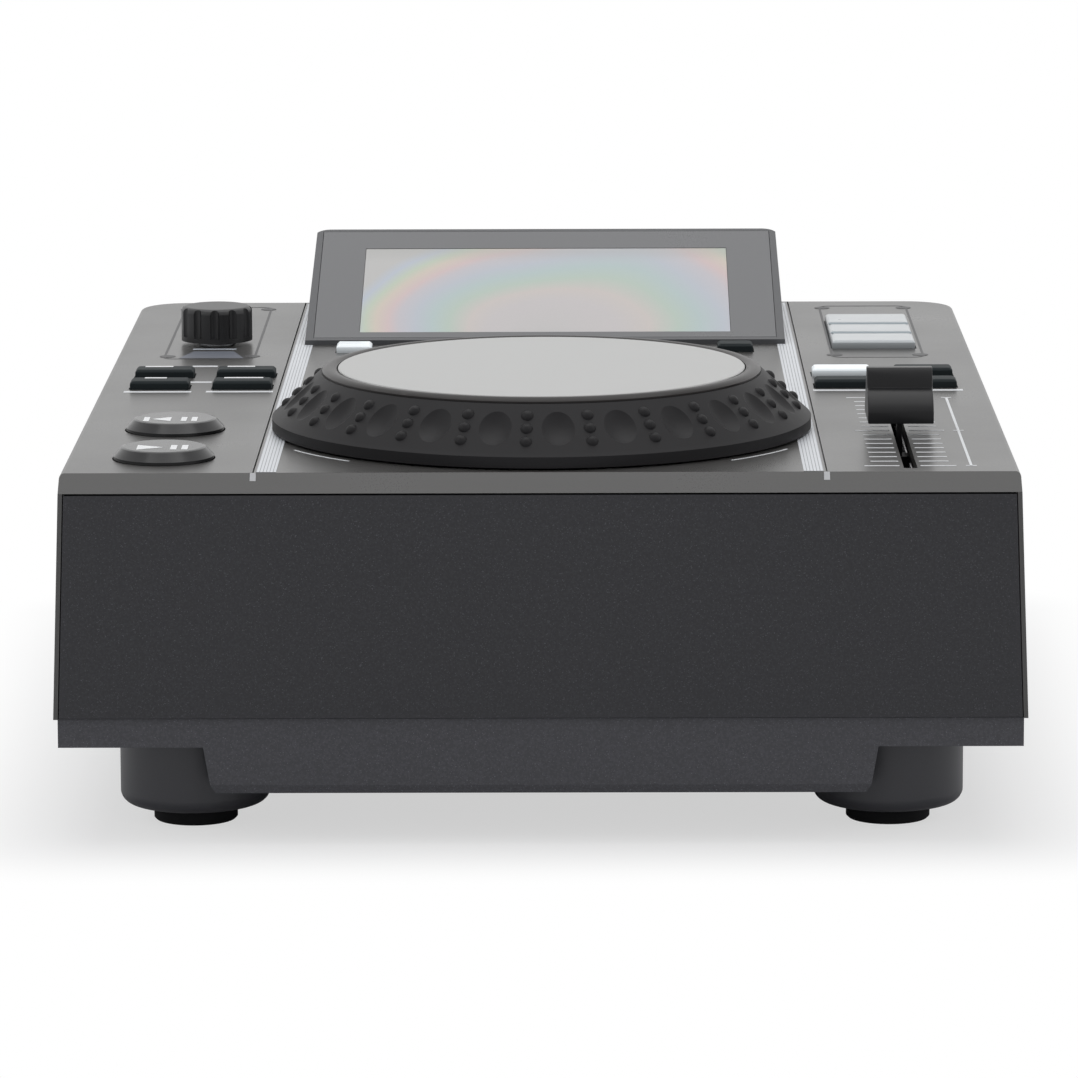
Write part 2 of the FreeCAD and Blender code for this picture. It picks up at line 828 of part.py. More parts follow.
def make_jog_trim():
    """Smooth rim ring around the touch plate."""
    middle = (trim_outer_radius + trim_inner_radius) / 2
    low, high = jog_land_z, jog_land_z + trim_height
    start = V(trim_inner_radius, jog_y, high - 0.35)
    stop = V(trim_outer_radius, jog_y, low + 0.45)
    crown = V(middle + 0.25, jog_y, high)
    edges = [
        Part.LineSegment(V(trim_inner_radius, jog_y, low), start).toShape(),
        Part.Arc(start, crown, stop).toShape(),
        Part.LineSegment(stop, V(trim_outer_radius, jog_y, low)).toShape(),
        Part.LineSegment(V(trim_outer_radius, jog_y, low), V(trim_inner_radius, jog_y, low)).toShape(),
    ]
    return Part.Face(Part.Wire(edges)).revolve(V(0, jog_y, 0), UP, 360)


def make_jog_plate():
    """Flat touch plate on top of the wheel."""
    low = jog_land_z
    plate = rod(0, jog_y, plate_radius, low, low + plate_thickness)
    edge = [item for item in plate.Edges if abs(item.BoundBox.ZMin - low - plate_thickness) < 0.01]
    return plate.makeChamfer(0.2, edge)


def hub_low_z():
    """Underside of the hub boss, just above the upper bush."""
    return top_z + bearing_rise + bush_flange + lift_gap


def make_jog_hub():
    """Moulded hub under the touch plate, with a boss, a web and ribs."""
    ledge_z = jog_land_z - jog_ledge_drop
    web_low = jog_land_z - hub_web
    rim_r = jog_bore_radius - 0.1
    flange_r = rim_r + 2.8
    shaft_r = shaft_diameter / 2
    profile = [
        (shaft_r, hub_low_z()), (hub_boss_radius, hub_low_z()), (hub_boss_radius, web_low),
        (rim_r - hub_web, web_low), (rim_r - hub_web, ledge_z - hub_web), (flange_r, ledge_z - hub_web),
        (flange_r, ledge_z), (rim_r, ledge_z), (rim_r, jog_land_z), (shaft_r, jog_land_z),
    ]
    hub = turned(profile, 0, jog_y)
    ribs = []
    for index in range(hub_rib_count):
        rib = block(hub_boss_radius - 0.5, rim_r - hub_web + 0.5, -hub_rib_width / 2, hub_rib_width / 2,
                    ledge_z - hub_web, web_low + 0.5)
        ribs.append(round_jog(rib, index * 360 / hub_rib_count))
    return joined([hub] + ribs)


def lower_bush_low_z():
    """Underside of the lower bush flange."""
    return top_z + bearing_rise - bearing_length - bush_flange


def clip_top_z():
    """Upper face of the retaining clip."""
    return lower_bush_low_z() - lift_gap


def disc_hub_top_z():
    """Upper face of the encoder disc hub."""
    return clip_top_z() - clip_thickness - 0.4


def make_jog_shaft():
    """Steel shaft with a groove for its retaining clip."""
    low = disc_hub_top_z() - encoder_hub_height - 0.6
    shaft = rod(0, jog_y, shaft_diameter / 2, low, jog_land_z - 0.2)
    groove_low = clip_top_z() - clip_thickness
    collar = rod(0, jog_y, shaft_diameter / 2 + 1, groove_low, clip_top_z())
    shaft = shaft.cut(collar.cut(rod(0, jog_y, shaft_diameter / 2 - 0.4, groove_low, clip_top_z())))
    ends = [edge for edge in shaft.Edges if abs(edge.BoundBox.ZMax - low) < 0.01]
    return shaft.makeChamfer(0.4, ends)


def make_bearing_housing():
    """Flanged tube under the cover that holds the jog bushes."""
    high = top_z + bearing_rise
    low = high - bearing_length
    bore = bush_outer_diameter / 2
    tube = bearing_tube_diameter / 2
    flange = bearing_flange_diameter / 2
    profile = [(bore, low), (tube, low), (tube, under_top_z - bearing_flange - 2),
               (tube + 2, under_top_z - bearing_flange), (flange, under_top_z - bearing_flange),
               (flange, under_top_z), (tube, under_top_z), (tube, high), (bore, high)]
    return turned(profile, 0, jog_y)


def make_jog_bushes():
    """Two flanged sintered bushes for the jog shaft."""
    bore = shaft_diameter / 2 + running_gap
    outer = bush_outer_diameter / 2
    flange = bush_flange_diameter / 2
    seat_high = top_z + bearing_rise
    seat_low = seat_high - bearing_length
    upper = [(bore, seat_high - bush_length), (outer, seat_high - bush_length), (outer, seat_high),
             (flange, seat_high), (flange, seat_high + bush_flange), (bore, seat_high + bush_flange)]
    lower = [(bore, seat_low - bush_flange), (flange, seat_low - bush_flange), (flange, seat_low),
             (outer, seat_low), (outer, seat_low + bush_length), (bore, seat_low + bush_length)]
    return [turned(upper, 0, jog_y), turned(lower, 0, jog_y)]


def make_jog_clip():
    """Snap clip with an open mouth, in the shaft groove."""
    high = clip_top_z()
    low = high - clip_thickness
    inner = shaft_diameter / 2 - 0.4
    clip = rod(0, jog_y, clip_diameter / 2, low, high).cut(rod(0, jog_y, inner, low, high))
    mouth = block(0, clip_diameter, jog_y - inner * 0.8, jog_y + inner * 0.8, low - 1, high + 1)
    return clip.cut(mouth)


def disc_low_z():
    """Underside of the encoder disc."""
    return disc_hub_top_z() - encoder_hub_height + 1.0


def make_encoder_disc():
    """Slotted disc on the lower end of the jog shaft."""
    bore = shaft_diameter / 2
    high = disc_hub_top_z()
    low = high - encoder_hub_height
    disc_low = disc_low_z()
    disc_high = disc_low + encoder_disc_thickness
    outer = encoder_disc_diameter / 2
    profile = [(bore, low), (bore + 3, low), (bore + 3, disc_low), (outer, disc_low), (outer, disc_high),
               (bore + 3, disc_high), (bore + 3, high), (bore, high)]
    disc = turned(profile, 0, jog_y)
    slot = block(outer - encoder_slot_length - 0.8, outer - 0.8, -encoder_slot_width / 2, encoder_slot_width / 2,
                 disc_low - 1, disc_high + 1)
    pitch = 360 / encoder_slot_count
    return disc.cut([round_jog(slot, index * pitch) for index in range(encoder_slot_count)])


def sensor_board_top():
    """Upper face of the jog sensor board."""
    return disc_low_z() - sensor_drop


def make_jog_sensor():
    """Small board with a forked light sensor around the disc's edge."""
    outer = encoder_disc_diameter / 2
    high = sensor_board_top()
    disc_low = disc_low_z()
    disc_high = disc_low + encoder_disc_thickness
    board = centred_block(outer + sensor_board_reach, jog_y, sensor_board_width, sensor_board_length,
                          high - board_thickness, high)
    fork = block(outer - sensor_fork_inner, outer + sensor_fork_outer, jog_y - sensor_fork_half,
                 jog_y + sensor_fork_half, high, disc_high + sensor_drop)
    slot = block(outer - sensor_fork_inner - 1, outer + sensor_slot_outer, jog_y - sensor_fork_half - 1,
                 jog_y + sensor_fork_half + 1, disc_low - sensor_slot_gap, disc_high + sensor_slot_gap)
    return joined([board, fork.cut(slot)])


def pod_frame(shape):
    """Move a shape from the pod face's own frame to its place: x across, y up the face, z out of it."""
    shape.rotate(V(0, 0, 0), V(1, 0, 0), pod_tilt)
    shape.translate(V(0, pod_y, top_z + pod_lip))
    return shape


def pod_wedge(wall):
    """Side profile of the pod, inset by a wall and open below when the wall is not zero."""
    low = top_z - (5 if wall else 0)
    shift = wall / math.cos(math.radians(pod_tilt))
    rear = pod_y + pod_run
    half = pod_width / 2
    profile = [(pod_y + wall, low), (pod_y + wall, top_z + pod_lip - shift + wall * math.tan(math.radians(pod_tilt))),
               (rear - wall, top_z + pod_rise - shift - wall * math.tan(math.radians(pod_tilt))),
               (rear + pod_rear_slope - wall, low)]
    return side_prism(profile, -half, half)


def pod_sides(wall):
    """Tapered side limits of the pod."""
    low, high = pod_width / 2 - wall, pod_width_top / 2 - wall
    y_low, y_high = pod_y - 10, pod_y + pod_run + 20
    face = polygon_face([(-low, y_low, top_z), (low, y_low, top_z), (high, y_low, top_z + pod_rise + 1),
                         (-high, y_low, top_z + pod_rise + 1)])
    column = face.extrude(V(0, y_high - y_low, 0))
    if wall:
        column = column.fuse(block(-low, low, y_low, y_high, top_z - 20, top_z))
    return column


def pod_corner_limit():
    """Tall prism, square to the face, that rounds the pod's two upper corners."""
    half = pod_width_top / 2 + 0.45
    corner = pod_corner_radius
    top = pod_face_length + 20
    outline = polygon_face([(-half, -30, -60), (half, -30, -60), (half, top, -60), (-half, top, -60)])
    prism = outline.extrude(V(0, 0, 120))
    cuts = []
    for side in (-1, 1):
        square = block(0, corner + 1, 0, corner + 1, -60, 60)
        square.translate(V(half - corner, pod_face_length - corner, 0))
        square = square.fuse(block(half - corner, half + 1, pod_face_length - corner, top + 1, -60, 60))
        square = square.cut(rod(half - corner, pod_face_length - corner, corner, -60, 60))
        cuts.append(square if side > 0 else square.mirror(V(0, 0, 0), V(1, 0, 0)))
    return pod_frame(prism.cut(cuts))


def make_screen_pod():
    """Tilted housing of the screen, open below, with a recess for the bezel and posts for the bracket."""
    solid = pod_wedge(0).common(pod_sides(0)).common(pod_corner_limit())
    depth = bezel_thickness + bezel_ledge
    hollow = pod_wedge(pod_wall).common(pod_sides(pod_wall))
    below_face = pod_frame(block(-100, 100, -20, 120, -80, -depth))
    hollow = hollow.common(below_face)
    half = pod_width_top / 2 - bezel_margin
    recess = pod_frame(block(-half, half, bezel_margin, pod_face_length - bezel_margin, -bezel_thickness, 5))
    opening = pod_frame(block(-window_width / 2 + window_ledge, window_width / 2 - window_ledge,
                              window_start + window_ledge, window_start + window_height - window_ledge, -9, 5))
    posts = [pod_frame(rod(x, y, bracket_post_diameter / 2, -bracket_depth(), -depth + 0.2))
             for x, y in bracket_post_places()]
    return joined([solid.cut([hollow, recess, opening])] + posts)


def bracket_depth():
    """Depth of the bracket's upper face below the pod face."""
    return bezel_thickness + bezel_ledge + lcd_thickness


def bracket_post_places():
    """Post centres in the face's own frame."""
    x = lcd_width / 2 + bracket_post_diameter / 2 + 0.4
    rows = (lcd_start + lcd_length * 0.35, lcd_start + lcd_length - 4)
    return [(side * x, y) for y in rows for side in (-1, 1)]


def make_screen_bezel():
    """Glossy frame around the display window."""
    half = pod_width_top / 2 - bezel_margin - 0.15
    low, high = bezel_margin + 0.15, pod_face_length - bezel_margin - 0.15
    plate = block(-half, half, low, high, -bezel_thickness, 0)
    window = block(-window_width / 2, window_width / 2, window_start, window_start + window_height,
                   -bezel_thickness - 1, 1)
    return pod_frame(plate.cut(window))


def make_screen_glass():
    """Window pane in the bezel."""
    gap = 0.1
    return pod_frame(block(-window_width / 2 + gap, window_width / 2 - gap, window_start + gap,
                           window_start + window_height - gap, -bezel_thickness, -0.1))


def make_lcd_module():
    """Flat display module behind the window."""
    top = -(bezel_thickness + bezel_ledge)
    return pod_frame(block(-lcd_width / 2, lcd_width / 2, lcd_start, lcd_start + lcd_length,
                           top - lcd_thickness, top))


def make_lcd_bracket():
    """Sheet bracket that holds the display module against the pod."""
    top = -bracket_depth()
    half = lcd_width / 2 + bracket_margin
    plate = block(-half, half, lcd_start + 1, lcd_start + lcd_length, top - bracket_thickness, top)
    relief = block(-half + 22, half - 22, lcd_start + 14, lcd_start + lcd_length - 14, top - 5, top + 1)
    return pod_frame(plate.cut(relief))


def stem_low_z(travel):
    """Lower end of a button stem above its switch."""
    return plunger_top_z + travel + stem_air


def flange_top_z():
    """Upper face of a cap's retaining flange."""
    return under_top_z - lift_gap


def make_round_button(x, y):
    """Round cap with a sloped rim, a retaining flange and a stem."""
    outer = transport_diameter / 2
    crown = transport_top_diameter / 2
    rim_z = top_z + 0.7
    crown_z = top_z + transport_rise
    flange_high = flange_top_z()
    flange_low = flange_high - cap_flange
    inner = outer - cap_wall
    profile = [
        (0, stem_low_z(transport_travel)), (stem_width / 2, stem_low_z(transport_travel)),
        (stem_width / 2, crown_z - 2 * cap_wall), (crown - cap_wall, crown_z - 2 * cap_wall),
        (inner, rim_z - 1), (inner, flange_low), (outer + cap_flange_reach, flange_low),
        (outer + cap_flange_reach, flange_high), (outer, flange_high), (outer, rim_z),
        (crown, crown_z), (crown - 0.6, crown_z + 0.15), (0, crown_z + 0.15),
    ]
    return turned(profile, x, y)


def make_block_button(x, y, width, depth, rise, travel):
    """Rectangular cap with bevelled edges, a retaining flange and a stem."""
    flange_high = flange_top_z()
    flange_low = flange_high - cap_flange
    cap_high = top_z + rise
    cap = centred_block(x, y, width, depth, flange_low, cap_high)
    top_edges = [edge for edge in cap.Edges if abs(edge.BoundBox.ZMin - cap_high) < 0.01]
    cap = cap.makeChamfer(pad_chamfer, top_edges)
    inside = centred_block(x, y, width - 2 * cap_wall, depth - 2 * cap_wall, flange_low - 1, cap_high - cap_wall)
    flange = centred_block(x, y, width + 2 * cap_flange_reach, depth, flange_low, flange_high)
    stem = centred_block(x, y, stem_width, stem_width, stem_low_z(travel), cap_high - cap_wall + 0.1)
    return joined([joined([cap, flange]).cut(inside), stem])


def button_places():
    """Centre of every push button."""
    return {**round_places(), **pad_places(), **deck_places(), **mode_places()}


def make_control_board():
    """One cut-out board under the cover that carries the switches."""
    low, high = board_top_z - board_thickness, board_top_z
    left = block(-board_outer_x, -left_board_inner_x, at_back(board_front_back), at_back(board_rear_back), low, high)
    bridge = block(-left_board_inner_x - 1, left_board_inner_x + 1, at_back(board_bridge_front_back),
                   at_back(board_bridge_rear_back), low, high)
    right = block(left_board_inner_x, board_outer_x, at_back(right_board_front_back), at_back(board_rear_back),
                  low, high)
    board = joined([left, bridge, right])
    holes = [rod(x, y, boss_diameter / 2 + press_gap, low - 1, high + 1) for x, y in boss_places()]
    return board.cut(holes)


def make_tact_switches():
    """A small push switch under every button."""
    switches = []
    for x, y in button_places().values():
        body = centred_block(x, y, switch_size, switch_size, board_top_z, board_top_z + switch_height)
        plunger = rod(x, y, plunger_diameter / 2, board_top_z + switch_height, plunger_top_z)
        switches.append(joined([body, plunger]))
    return switches


def encoder_body_high_z():
    """Upper face of the select encoder's body, on the control board."""
    return board_top_z + encoder_body_height


def make_select_encoder():
    """Body of the push encoder with its threaded bush."""
    x, y = select_x, at_back(select_back)
    high = encoder_body_high_z()
    body = centred_block(x, y, encoder_body_size, encoder_body_size, board_top_z, high)
    bush = rod(x, y, encoder_bush_diameter / 2, high, top_z + 0.2)
    bore = rod(x, y, knob_shaft_bore / 2, board_top_z + 1, top_z + 1)
    return joined([body, bush]).cut(bore)


def plunger_high_z():
    """Upper face of the select encoder's push plunger."""
    return board_top_z + 2.4


def make_select_plunger():
    """Plunger inside the encoder that slides when the knob is pressed."""
    x, y = select_x, at_back(select_back)
    low = board_top_z + 1 + knob_travel + 0.05
    return rod(x, y, knob_shaft_bore / 2 - running_gap, low, plunger_high_z())


def knob_low_z():
    """Underside of the select knob's skirt."""
    return top_z + knob_gap


def make_select_shaft():
    """Turning shaft of the encoder, up into the knob."""
    x, y = select_x, at_back(select_back)
    return rod(x, y, knob_shaft_diameter / 2 + 0.05, plunger_high_z(), knob_low_z() + knob_height - 2)


def make_select_knob():
    """Fluted knob with a rounded crown."""
    x, y = select_x, at_back(select_back)
    low = knob_low_z()
    high = low + knob_height
    body = rod(x, y, knob_diameter / 2, low, high)
    crown = [edge for edge in body.Edges if abs(edge.BoundBox.ZMin - high) < 0.01]
    body = body.makeFillet(1.4, crown)
    flutes = []
    for index in range(knob_flute_count):
        angle = 2 * math.pi * index / knob_flute_count
        reach = knob_diameter / 2 + knob_flute_radius * 0.45
        flutes.append(rod(x + reach * math.cos(angle), y + reach * math.sin(angle), knob_flute_radius,
                          low + 1.2, high + 1))
    body = body.cut(flutes)
    hollow = rod(x, y, knob_shaft_diameter / 2 + 0.05, low - 1, high - 2)
    room = rod(x, y, encoder_bush_diameter / 2 + 0.6, low - 1, low + 1)
    return body.cut([hollow, room])


def fader_frame_top():
    """Upper face of the fader frame, against the cover."""
    return under_top_z


def make_fader_frame():
    """Folded steel frame of the slide control, open at its slot."""
    y = at_back(fader_back)
    high = fader_frame_top()
    low = high - fader_frame_height
    wall = fader_frame_wall
    outer = centred_block(fader_x, y, fader_frame_width, fader_frame_length, low, high)
    inner = centred_block(fader_x, y, fader_frame_width - 2 * wall, fader_frame_length - 2 * wall,
                          low + board_thickness, high - wall)
    slot = centred_block(fader_x, y, fader_slot_width, fader_slot_length, high - wall - 1, high + 1)
    return outer.cut([inner, slot])


def fader_rod_z():
    """Height of the guide rods."""
    return fader_frame_top() - fader_frame_height / 2 - 0.4


def make_fader_rods():
    """Two steel guide rods inside the frame."""
    y = at_back(fader_back)
    half = fader_frame_length / 2 - fader_frame_wall
    return [rod_along_y(fader_x + side * fader_rod_spacing / 2, y - half, y + half, fader_rod_z(),
                        fader_rod_diameter / 2) for side in (-1, 1)]


def cap_socket_z():
    """Upper end of the lever inside the fader cap."""
    return top_z + fader_cap_lift + fader_cap_socket_depth


def make_fader_carriage():
    """Sliding block on the rods, with the flat lever that carries the cap."""
    y = at_back(fader_back)
    z = fader_rod_z()
    body = centred_block(fader_x, y, fader_rod_spacing + fader_rod_diameter + 1.0, fader_block_length,
                         z - 1.9, z + 1.9)
    bores = [rod_along_y(fader_x + side * fader_rod_spacing / 2, y - fader_block_length, y + fader_block_length, z,
                         fader_rod_diameter / 2 + running_gap) for side in (-1, 1)]
    lever = centred_block(fader_x, y, fader_lever_width, fader_lever_length, z + 1.5, cap_socket_z())
    return joined([body.cut(bores), lever])


def make_fader_cap():
    """Ridged finger cap of the pitch fader."""
    y = at_back(fader_back)
    low = top_z + fader_cap_lift
    half = fader_cap_length / 2
    skirt = low + fader_cap_skirt
    high = low + fader_cap_height
    front = [V(0, y - half, skirt), V(0, y - 6.6, low + 5.2), V(0, y - 3.0, low + 7.2)]
    rear = [V(0, y + half, skirt), V(0, y + 6.6, low + 5.2), V(0, y + 3.6, low + 8.4)]
    step_low, step_high = V(0, y - 2.5, low + 7.4), V(0, y - 2.1, low + 9.5)
    ridge_front, ridge_rear = V(0, y - 0.6, high - 0.5), V(0, y + 2.4, high)
    corners = [V(0, y - half, low), front[0], front[2], step_low, step_high, ridge_front, V(0, y, high), ridge_rear,
               rear[2], rear[0], V(0, y + half, low)]
    edges = []
    for index, corner in enumerate(corners):
        after = corners[(index + 1) % len(corners)]
        if corner is front[0]:
            edges.append(Part.Arc(corner, front[1], after).toShape())
        elif corner is rear[2]:
            edges.append(Part.Arc(corner, rear[1], after).toShape())
        else:
            edges.append(Part.LineSegment(corner, after).toShape())
    face = Part.Face(Part.Wire(edges))
    face.translate(V(fader_x - fader_cap_width / 2, 0, 0))
    cap = face.extrude(V(fader_cap_width, 0, 0))
    socket = centred_block(fader_x, y, fader_lever_width, fader_lever_length, low - 1, cap_socket_z())
    return cap.cut(socket)


def connector_face(x, z, width, height, y_low, y_high):
    """Block centred on x and z between two depths."""
    return block(x - width / 2, x + width / 2, y_low, y_high, z - height / 2, z + height / 2)


def make_rear_plate():
    """Steel connector plate behind the rear window, cut for every connector."""
    half = rear_window_width / 2 + rear_plate_overlap
    y_high, y_low = rear_plate_y, rear_plate_y - rear_plate_thickness
    plate = block(-half, half, y_low, y_high, rear_window_bottom - rear_plate_overlap,
                  rear_window_top + rear_plate_overlap)
    z = jack_height
    gap = side_gap
    jack_hole_radius = jack_barrel_diameter / 2 + jack_collar_step + jack_hole_gap
    tools = [Part.makeCylinder(jack_hole_radius, 10, V(x, y_low - 4, z), V(0, 1, 0)) for x in jack_centres()]
    tools.append(connector_face(usb_b_x, z, usb_b_width + 2 * gap, usb_b_height + 2 * gap, y_low - 1, y_high + 1))
    tools.append(connector_face(usb_a_x, z, usb_a_width + 2 * gap, usb_a_height + 2 * gap, y_low - 1, y_high + 1))
    tools.append(Part.makeCylinder(inlet_bore_diameter / 2 + gap, 10, V(inlet_x, y_low - 4, z), V(0, 1, 0)))
    tools.append(connector_face(switch_x, z, switch_body_width + 2 * gap, switch_body_height + 2 * gap,
                                y_low - 1, y_high + 1))
    return plate.cut(tools)


def jack_centres():
    """X of the two output jacks."""
    return (jack_x, jack_x + jack_pitch)


def make_output_jacks():
    """Pair of phono output jacks in one moulded block."""
    z = jack_height
    y_face = rear_plate_y - rear_plate_thickness
    y_collar = rear_plate_y + jack_collar_proud
    middle = sum(jack_centres()) / 2
    solids = [connector_face(middle, z, jack_pitch + jack_block_margin, jack_block_height,
                             y_face - jack_block_depth, y_face)]
    tip = body_rear_y + jack_reach
    for x in jack_centres():
        collar = rod_along_y(x, y_face, y_collar, z, jack_barrel_diameter / 2 + jack_collar_step)
        barrel = rod_along_y(x, y_collar, tip, z, jack_barrel_diameter / 2)
        bore = rod_along_y(x, tip - jack_bore_depth, tip, z, jack_core_diameter / 2)
        solids.append(collar.fuse(barrel).cut(bore))
    return joined(solids)


def make_usb_device_socket():
    """Square data socket for a computer."""
    z = jack_height
    y_high = rear_plate_y
    shell = connector_face(usb_b_x, z, usb_b_width, usb_b_height, y_high - usb_depth, y_high)
    room = connector_face(usb_b_x, z, usb_b_opening, usb_b_opening - 0.6, y_high - usb_depth + 3, y_high + 1)
    tongue = connector_face(usb_b_x, z, 5.6, 3.0, y_high - usb_depth + 2, y_high - 1)
    return joined([shell.cut(room), tongue])


def make_usb_media_socket():
    """Flat socket for a memory stick."""
    z = jack_height
    y_high = rear_plate_y
    shell = connector_face(usb_a_x, z, usb_a_width, usb_a_height, y_high - usb_depth, y_high)
    room = connector_face(usb_a_x, z, usb_a_width - 2 * usb_a_wall, usb_a_height - 2 * usb_a_wall,
                          y_high - usb_depth + 1, y_high + 1)
    tongue = connector_face(usb_a_x, z + usb_a_height / 2 - usb_a_wall - 0.9, 11.0, 1.8,
                            y_high - usb_depth, y_high - 1)
    return joined([shell.cut(room), tongue])


def make_power_inlet():
    """Round power inlet with its centre pin."""
    z = jack_height
    y_face = rear_plate_y - rear_plate_thickness
    body = connector_face(inlet_x, z, inlet_size, inlet_size, y_face - 12, y_face)
    collar = Part.makeCylinder(inlet_bore_diameter / 2, rear_plate_thickness, V(inlet_x, y_face, z), V(0, 1, 0))
    bore = Part.makeCylinder(inlet_bore_diameter / 2 - 0.4, inlet_bore_depth + 2,
                             V(inlet_x, rear_plate_y - inlet_bore_depth, z), V(0, 1, 0))
    pin = Part.makeCylinder(inlet_pin_diameter / 2, inlet_bore_depth,
                            V(inlet_x, rear_plate_y - inlet_bore_depth - 0.5, z), V(0, 1, 0))
    return joined([joined([body, collar]).cut(bore), pin])


def rocker_pivot_y():
    """Y of the rocker's pivot, inside the plate."""
    return rear_plate_y - rocker_pivot_drop


def make_power_switch():
    """Body of the rocker switch with its bezel."""
    z = jack_height
    y = rocker_pivot_y()
    body = connector_face(switch_x, z, switch_body_width, switch_body_height, rear_plate_y - switch_body_depth,
                          rear_plate_y)
    bezel = connector_face(switch_x, z, switch_body_width + 3, switch_body_height + 3, rear_plate_y,
                           rear_plate_y + switch_bezel)
    half = rocker_width / 2 + rocker_gap
    room = Part.makeCylinder(rocker_radius + rocker_gap, 2 * half, V(switch_x - half, y, z), V(1, 0, 0))
    mouth = connector_face(switch_x, z, 2 * half, 2 * (rocker_radius + rocker_gap), y, rear_plate_y + 5)
    pins = [Part.makeCylinder(1.0, 1.4, V(switch_x - half - 0.05, y, z), V(1, 0, 0)),
            Part.makeCylinder(1.0, 1.4, V(switch_x + half - 1.35, y, z), V(1, 0, 0))]
    return joined([joined([body, bezel]).cut([room, mouth])] + pins)


def make_power_rocker():
    """Rocker paddle: two shallow slopes and round ends about its pivot, tipped to off."""
    z = jack_height
    y = rocker_pivot_y()
    radius = rocker_radius
    reach = math.sqrt(radius ** 2 - 5.6 ** 2)
    x_low = switch_x - rocker_width / 2
    drum = Part.makeCylinder(radius, rocker_width, V(x_low, y, z), V(1, 0, 0))
    keep = side_prism([(y - 1.5, z - radius - 1), (y + 5.6, z - radius - 1), (y + 5.6, z - reach),
                       (y + 4.6, z), (y + 5.6, z + reach), (y + 5.6, z + radius + 1), (y - 1.5, z + radius + 1)],
                      x_low - 1, x_low + rocker_width + 1)
    bore = Part.makeCylinder(1.05, rocker_width + 2, V(x_low - 1, y, z), V(1, 0, 0))
    boss = Part.makeCylinder(2.4, rocker_width, V(x_low, y, z), V(1, 0, 0))
    rocker = joined([drum.common(keep), boss]).cut(bore)
    rocker.rotate(V(switch_x, y, z), V(1, 0, 0), rocker_tilt)
    return rocker


def tray_floor_z():
    """Upper face of the deep tray's floor."""
    return tray_bottom_z + tray_wall


def standoff_places():
    """Centres of the main board's standoffs."""
    x = main_board_width / 2 - standoff_margin
    y_reach = main_board_length / 2 - standoff_margin
    return [(side * x, at_back(main_board_back) + end * y_reach) for end in (-1, 1) for side in (-1, 1)]


def make_standoffs():
    """Spacers between the tray floor and the main board."""
    low = tray_floor_z()
    return [rod(x, y, standoff_diameter / 2, low, low + standoff_height) for x, y in standoff_places()]


def make_main_board():
    """Main board with its larger chips and capacitors."""
    low = tray_floor_z() + standoff_height
    high = low + board_thickness
    y = at_back(main_board_back)
    board = centred_block(0, y, main_board_width, main_board_length, low, high)
    seat = high - board_thickness / 8
    chip_top = high + chip_height
    chips = [centred_block(-chip_large, y - chip_small / 2, chip_large, chip_large, seat, chip_top),
             centred_block(chip_large, y - chip_large, chip_small, chip_large, seat, chip_top),
             centred_block(1.5 * chip_large, y + chip_large / 2, chip_small, chip_small, seat, chip_top)]
    can_y = y + main_board_length / 2 - standoff_margin - 3 * can_diameter / 2
    cans = [rod(x, can_y, can_diameter / 2, seat, high + can_height)
            for x in (2 * chip_large, 2.5 * chip_large, -2.3 * chip_large)]
    return joined([board] + chips + cans)


def export(name, shape):
    """Write one node; a list becomes a group of separate solids."""
    shape = Part.makeCompound(shape) if isinstance(shape, list) else shape
    shape.exportStep(os.path.join("parts", name + ".step"))


def build_nodes():
    """Every node of the player by name."""
    nodes = {
        "top_cover": make_top_cover(),
        "centre_panel": make_centre_panel(),
        "front_fascia": make_front_fascia(),
        "bottom_tray": make_bottom_tray(),
        "feet": make_feet(),
        "foot_pads": make_foot_pads(),
        "case_screws": make_case_screws(),
        "rear_connector_plate": make_rear_plate(),
        "screen_pod": make_screen_pod(),
        "screen_bezel": make_screen_bezel(),
        "screen_glass": make_screen_glass(),
        "lcd_module": make_lcd_module(),
        "lcd_bracket": make_lcd_bracket(),
        "jog_ring": make_jog_ring(),
        "jog_trim_ring": make_jog_trim(),
        "jog_touch_plate": make_jog_plate(),
        "jog_hub": make_jog_hub(),
        "jog_shaft": make_jog_shaft(),
        "jog_bearing_housing": make_bearing_housing(),
        "jog_bushes": make_jog_bushes(),
        "jog_retaining_clip": make_jog_clip(),
        "jog_encoder_disc": make_encoder_disc(),
        "jog_sensor_board": make_jog_sensor(),
        "control_board": make_control_board(),
        "tact_switches": make_tact_switches(),
        "select_encoder_body": make_select_encoder(),
        "select_plunger": make_select_plunger(),
        "select_shaft": make_select_shaft(),
        "select_knob": make_select_knob(),
        "fader_frame": make_fader_frame(),
        "fader_guide_rods": make_fader_rods(),
        "fader_carriage": make_fader_carriage(),
        "fader_cap": make_fader_cap(),
        "output_jacks": make_output_jacks(),
        "usb_device_socket": make_usb_device_socket(),
        "usb_media_socket": make_usb_media_socket(),
        "power_inlet": make_power_inlet(),
        "power_switch_body": make_power_switch(),
        "power_rocker": make_power_rocker(),
        "main_board": make_main_board(),
        "board_standoffs": make_standoffs(),
        "board_spacers": make_board_spacers(),
    }
    for name, (x, y) in round_places().items():
        nodes[name] = make_round_button(x, y)
    for name, (x, y) in pad_places().items():
        nodes[name] = make_block_button(x, y, pad_width, pad_depth, pad_rise, pad_travel)
    for name, (x, y) in deck_places().items():
        nodes[name] = make_block_button(x, y, deck_button_width, pad_depth, pad_rise, pad_travel)
    for name, (x, y) in mode_places().items():
        nodes[name] = make_block_button(x, y, mode_width, mode_depth, mode_rise, pad_travel)
    return nodes


os.makedirs("parts", exist_ok=True)
for node_name, node_shape in build_nodes().items():
    export(node_name, node_shape)
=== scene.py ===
"""Dressed model of a tabletop deck player, laid out as a Blender add-on and run as a script.

Metres, +Z up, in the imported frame's own axes: the front faces -Y and the table is z = 0.
"""
import math
from functools import cached_property

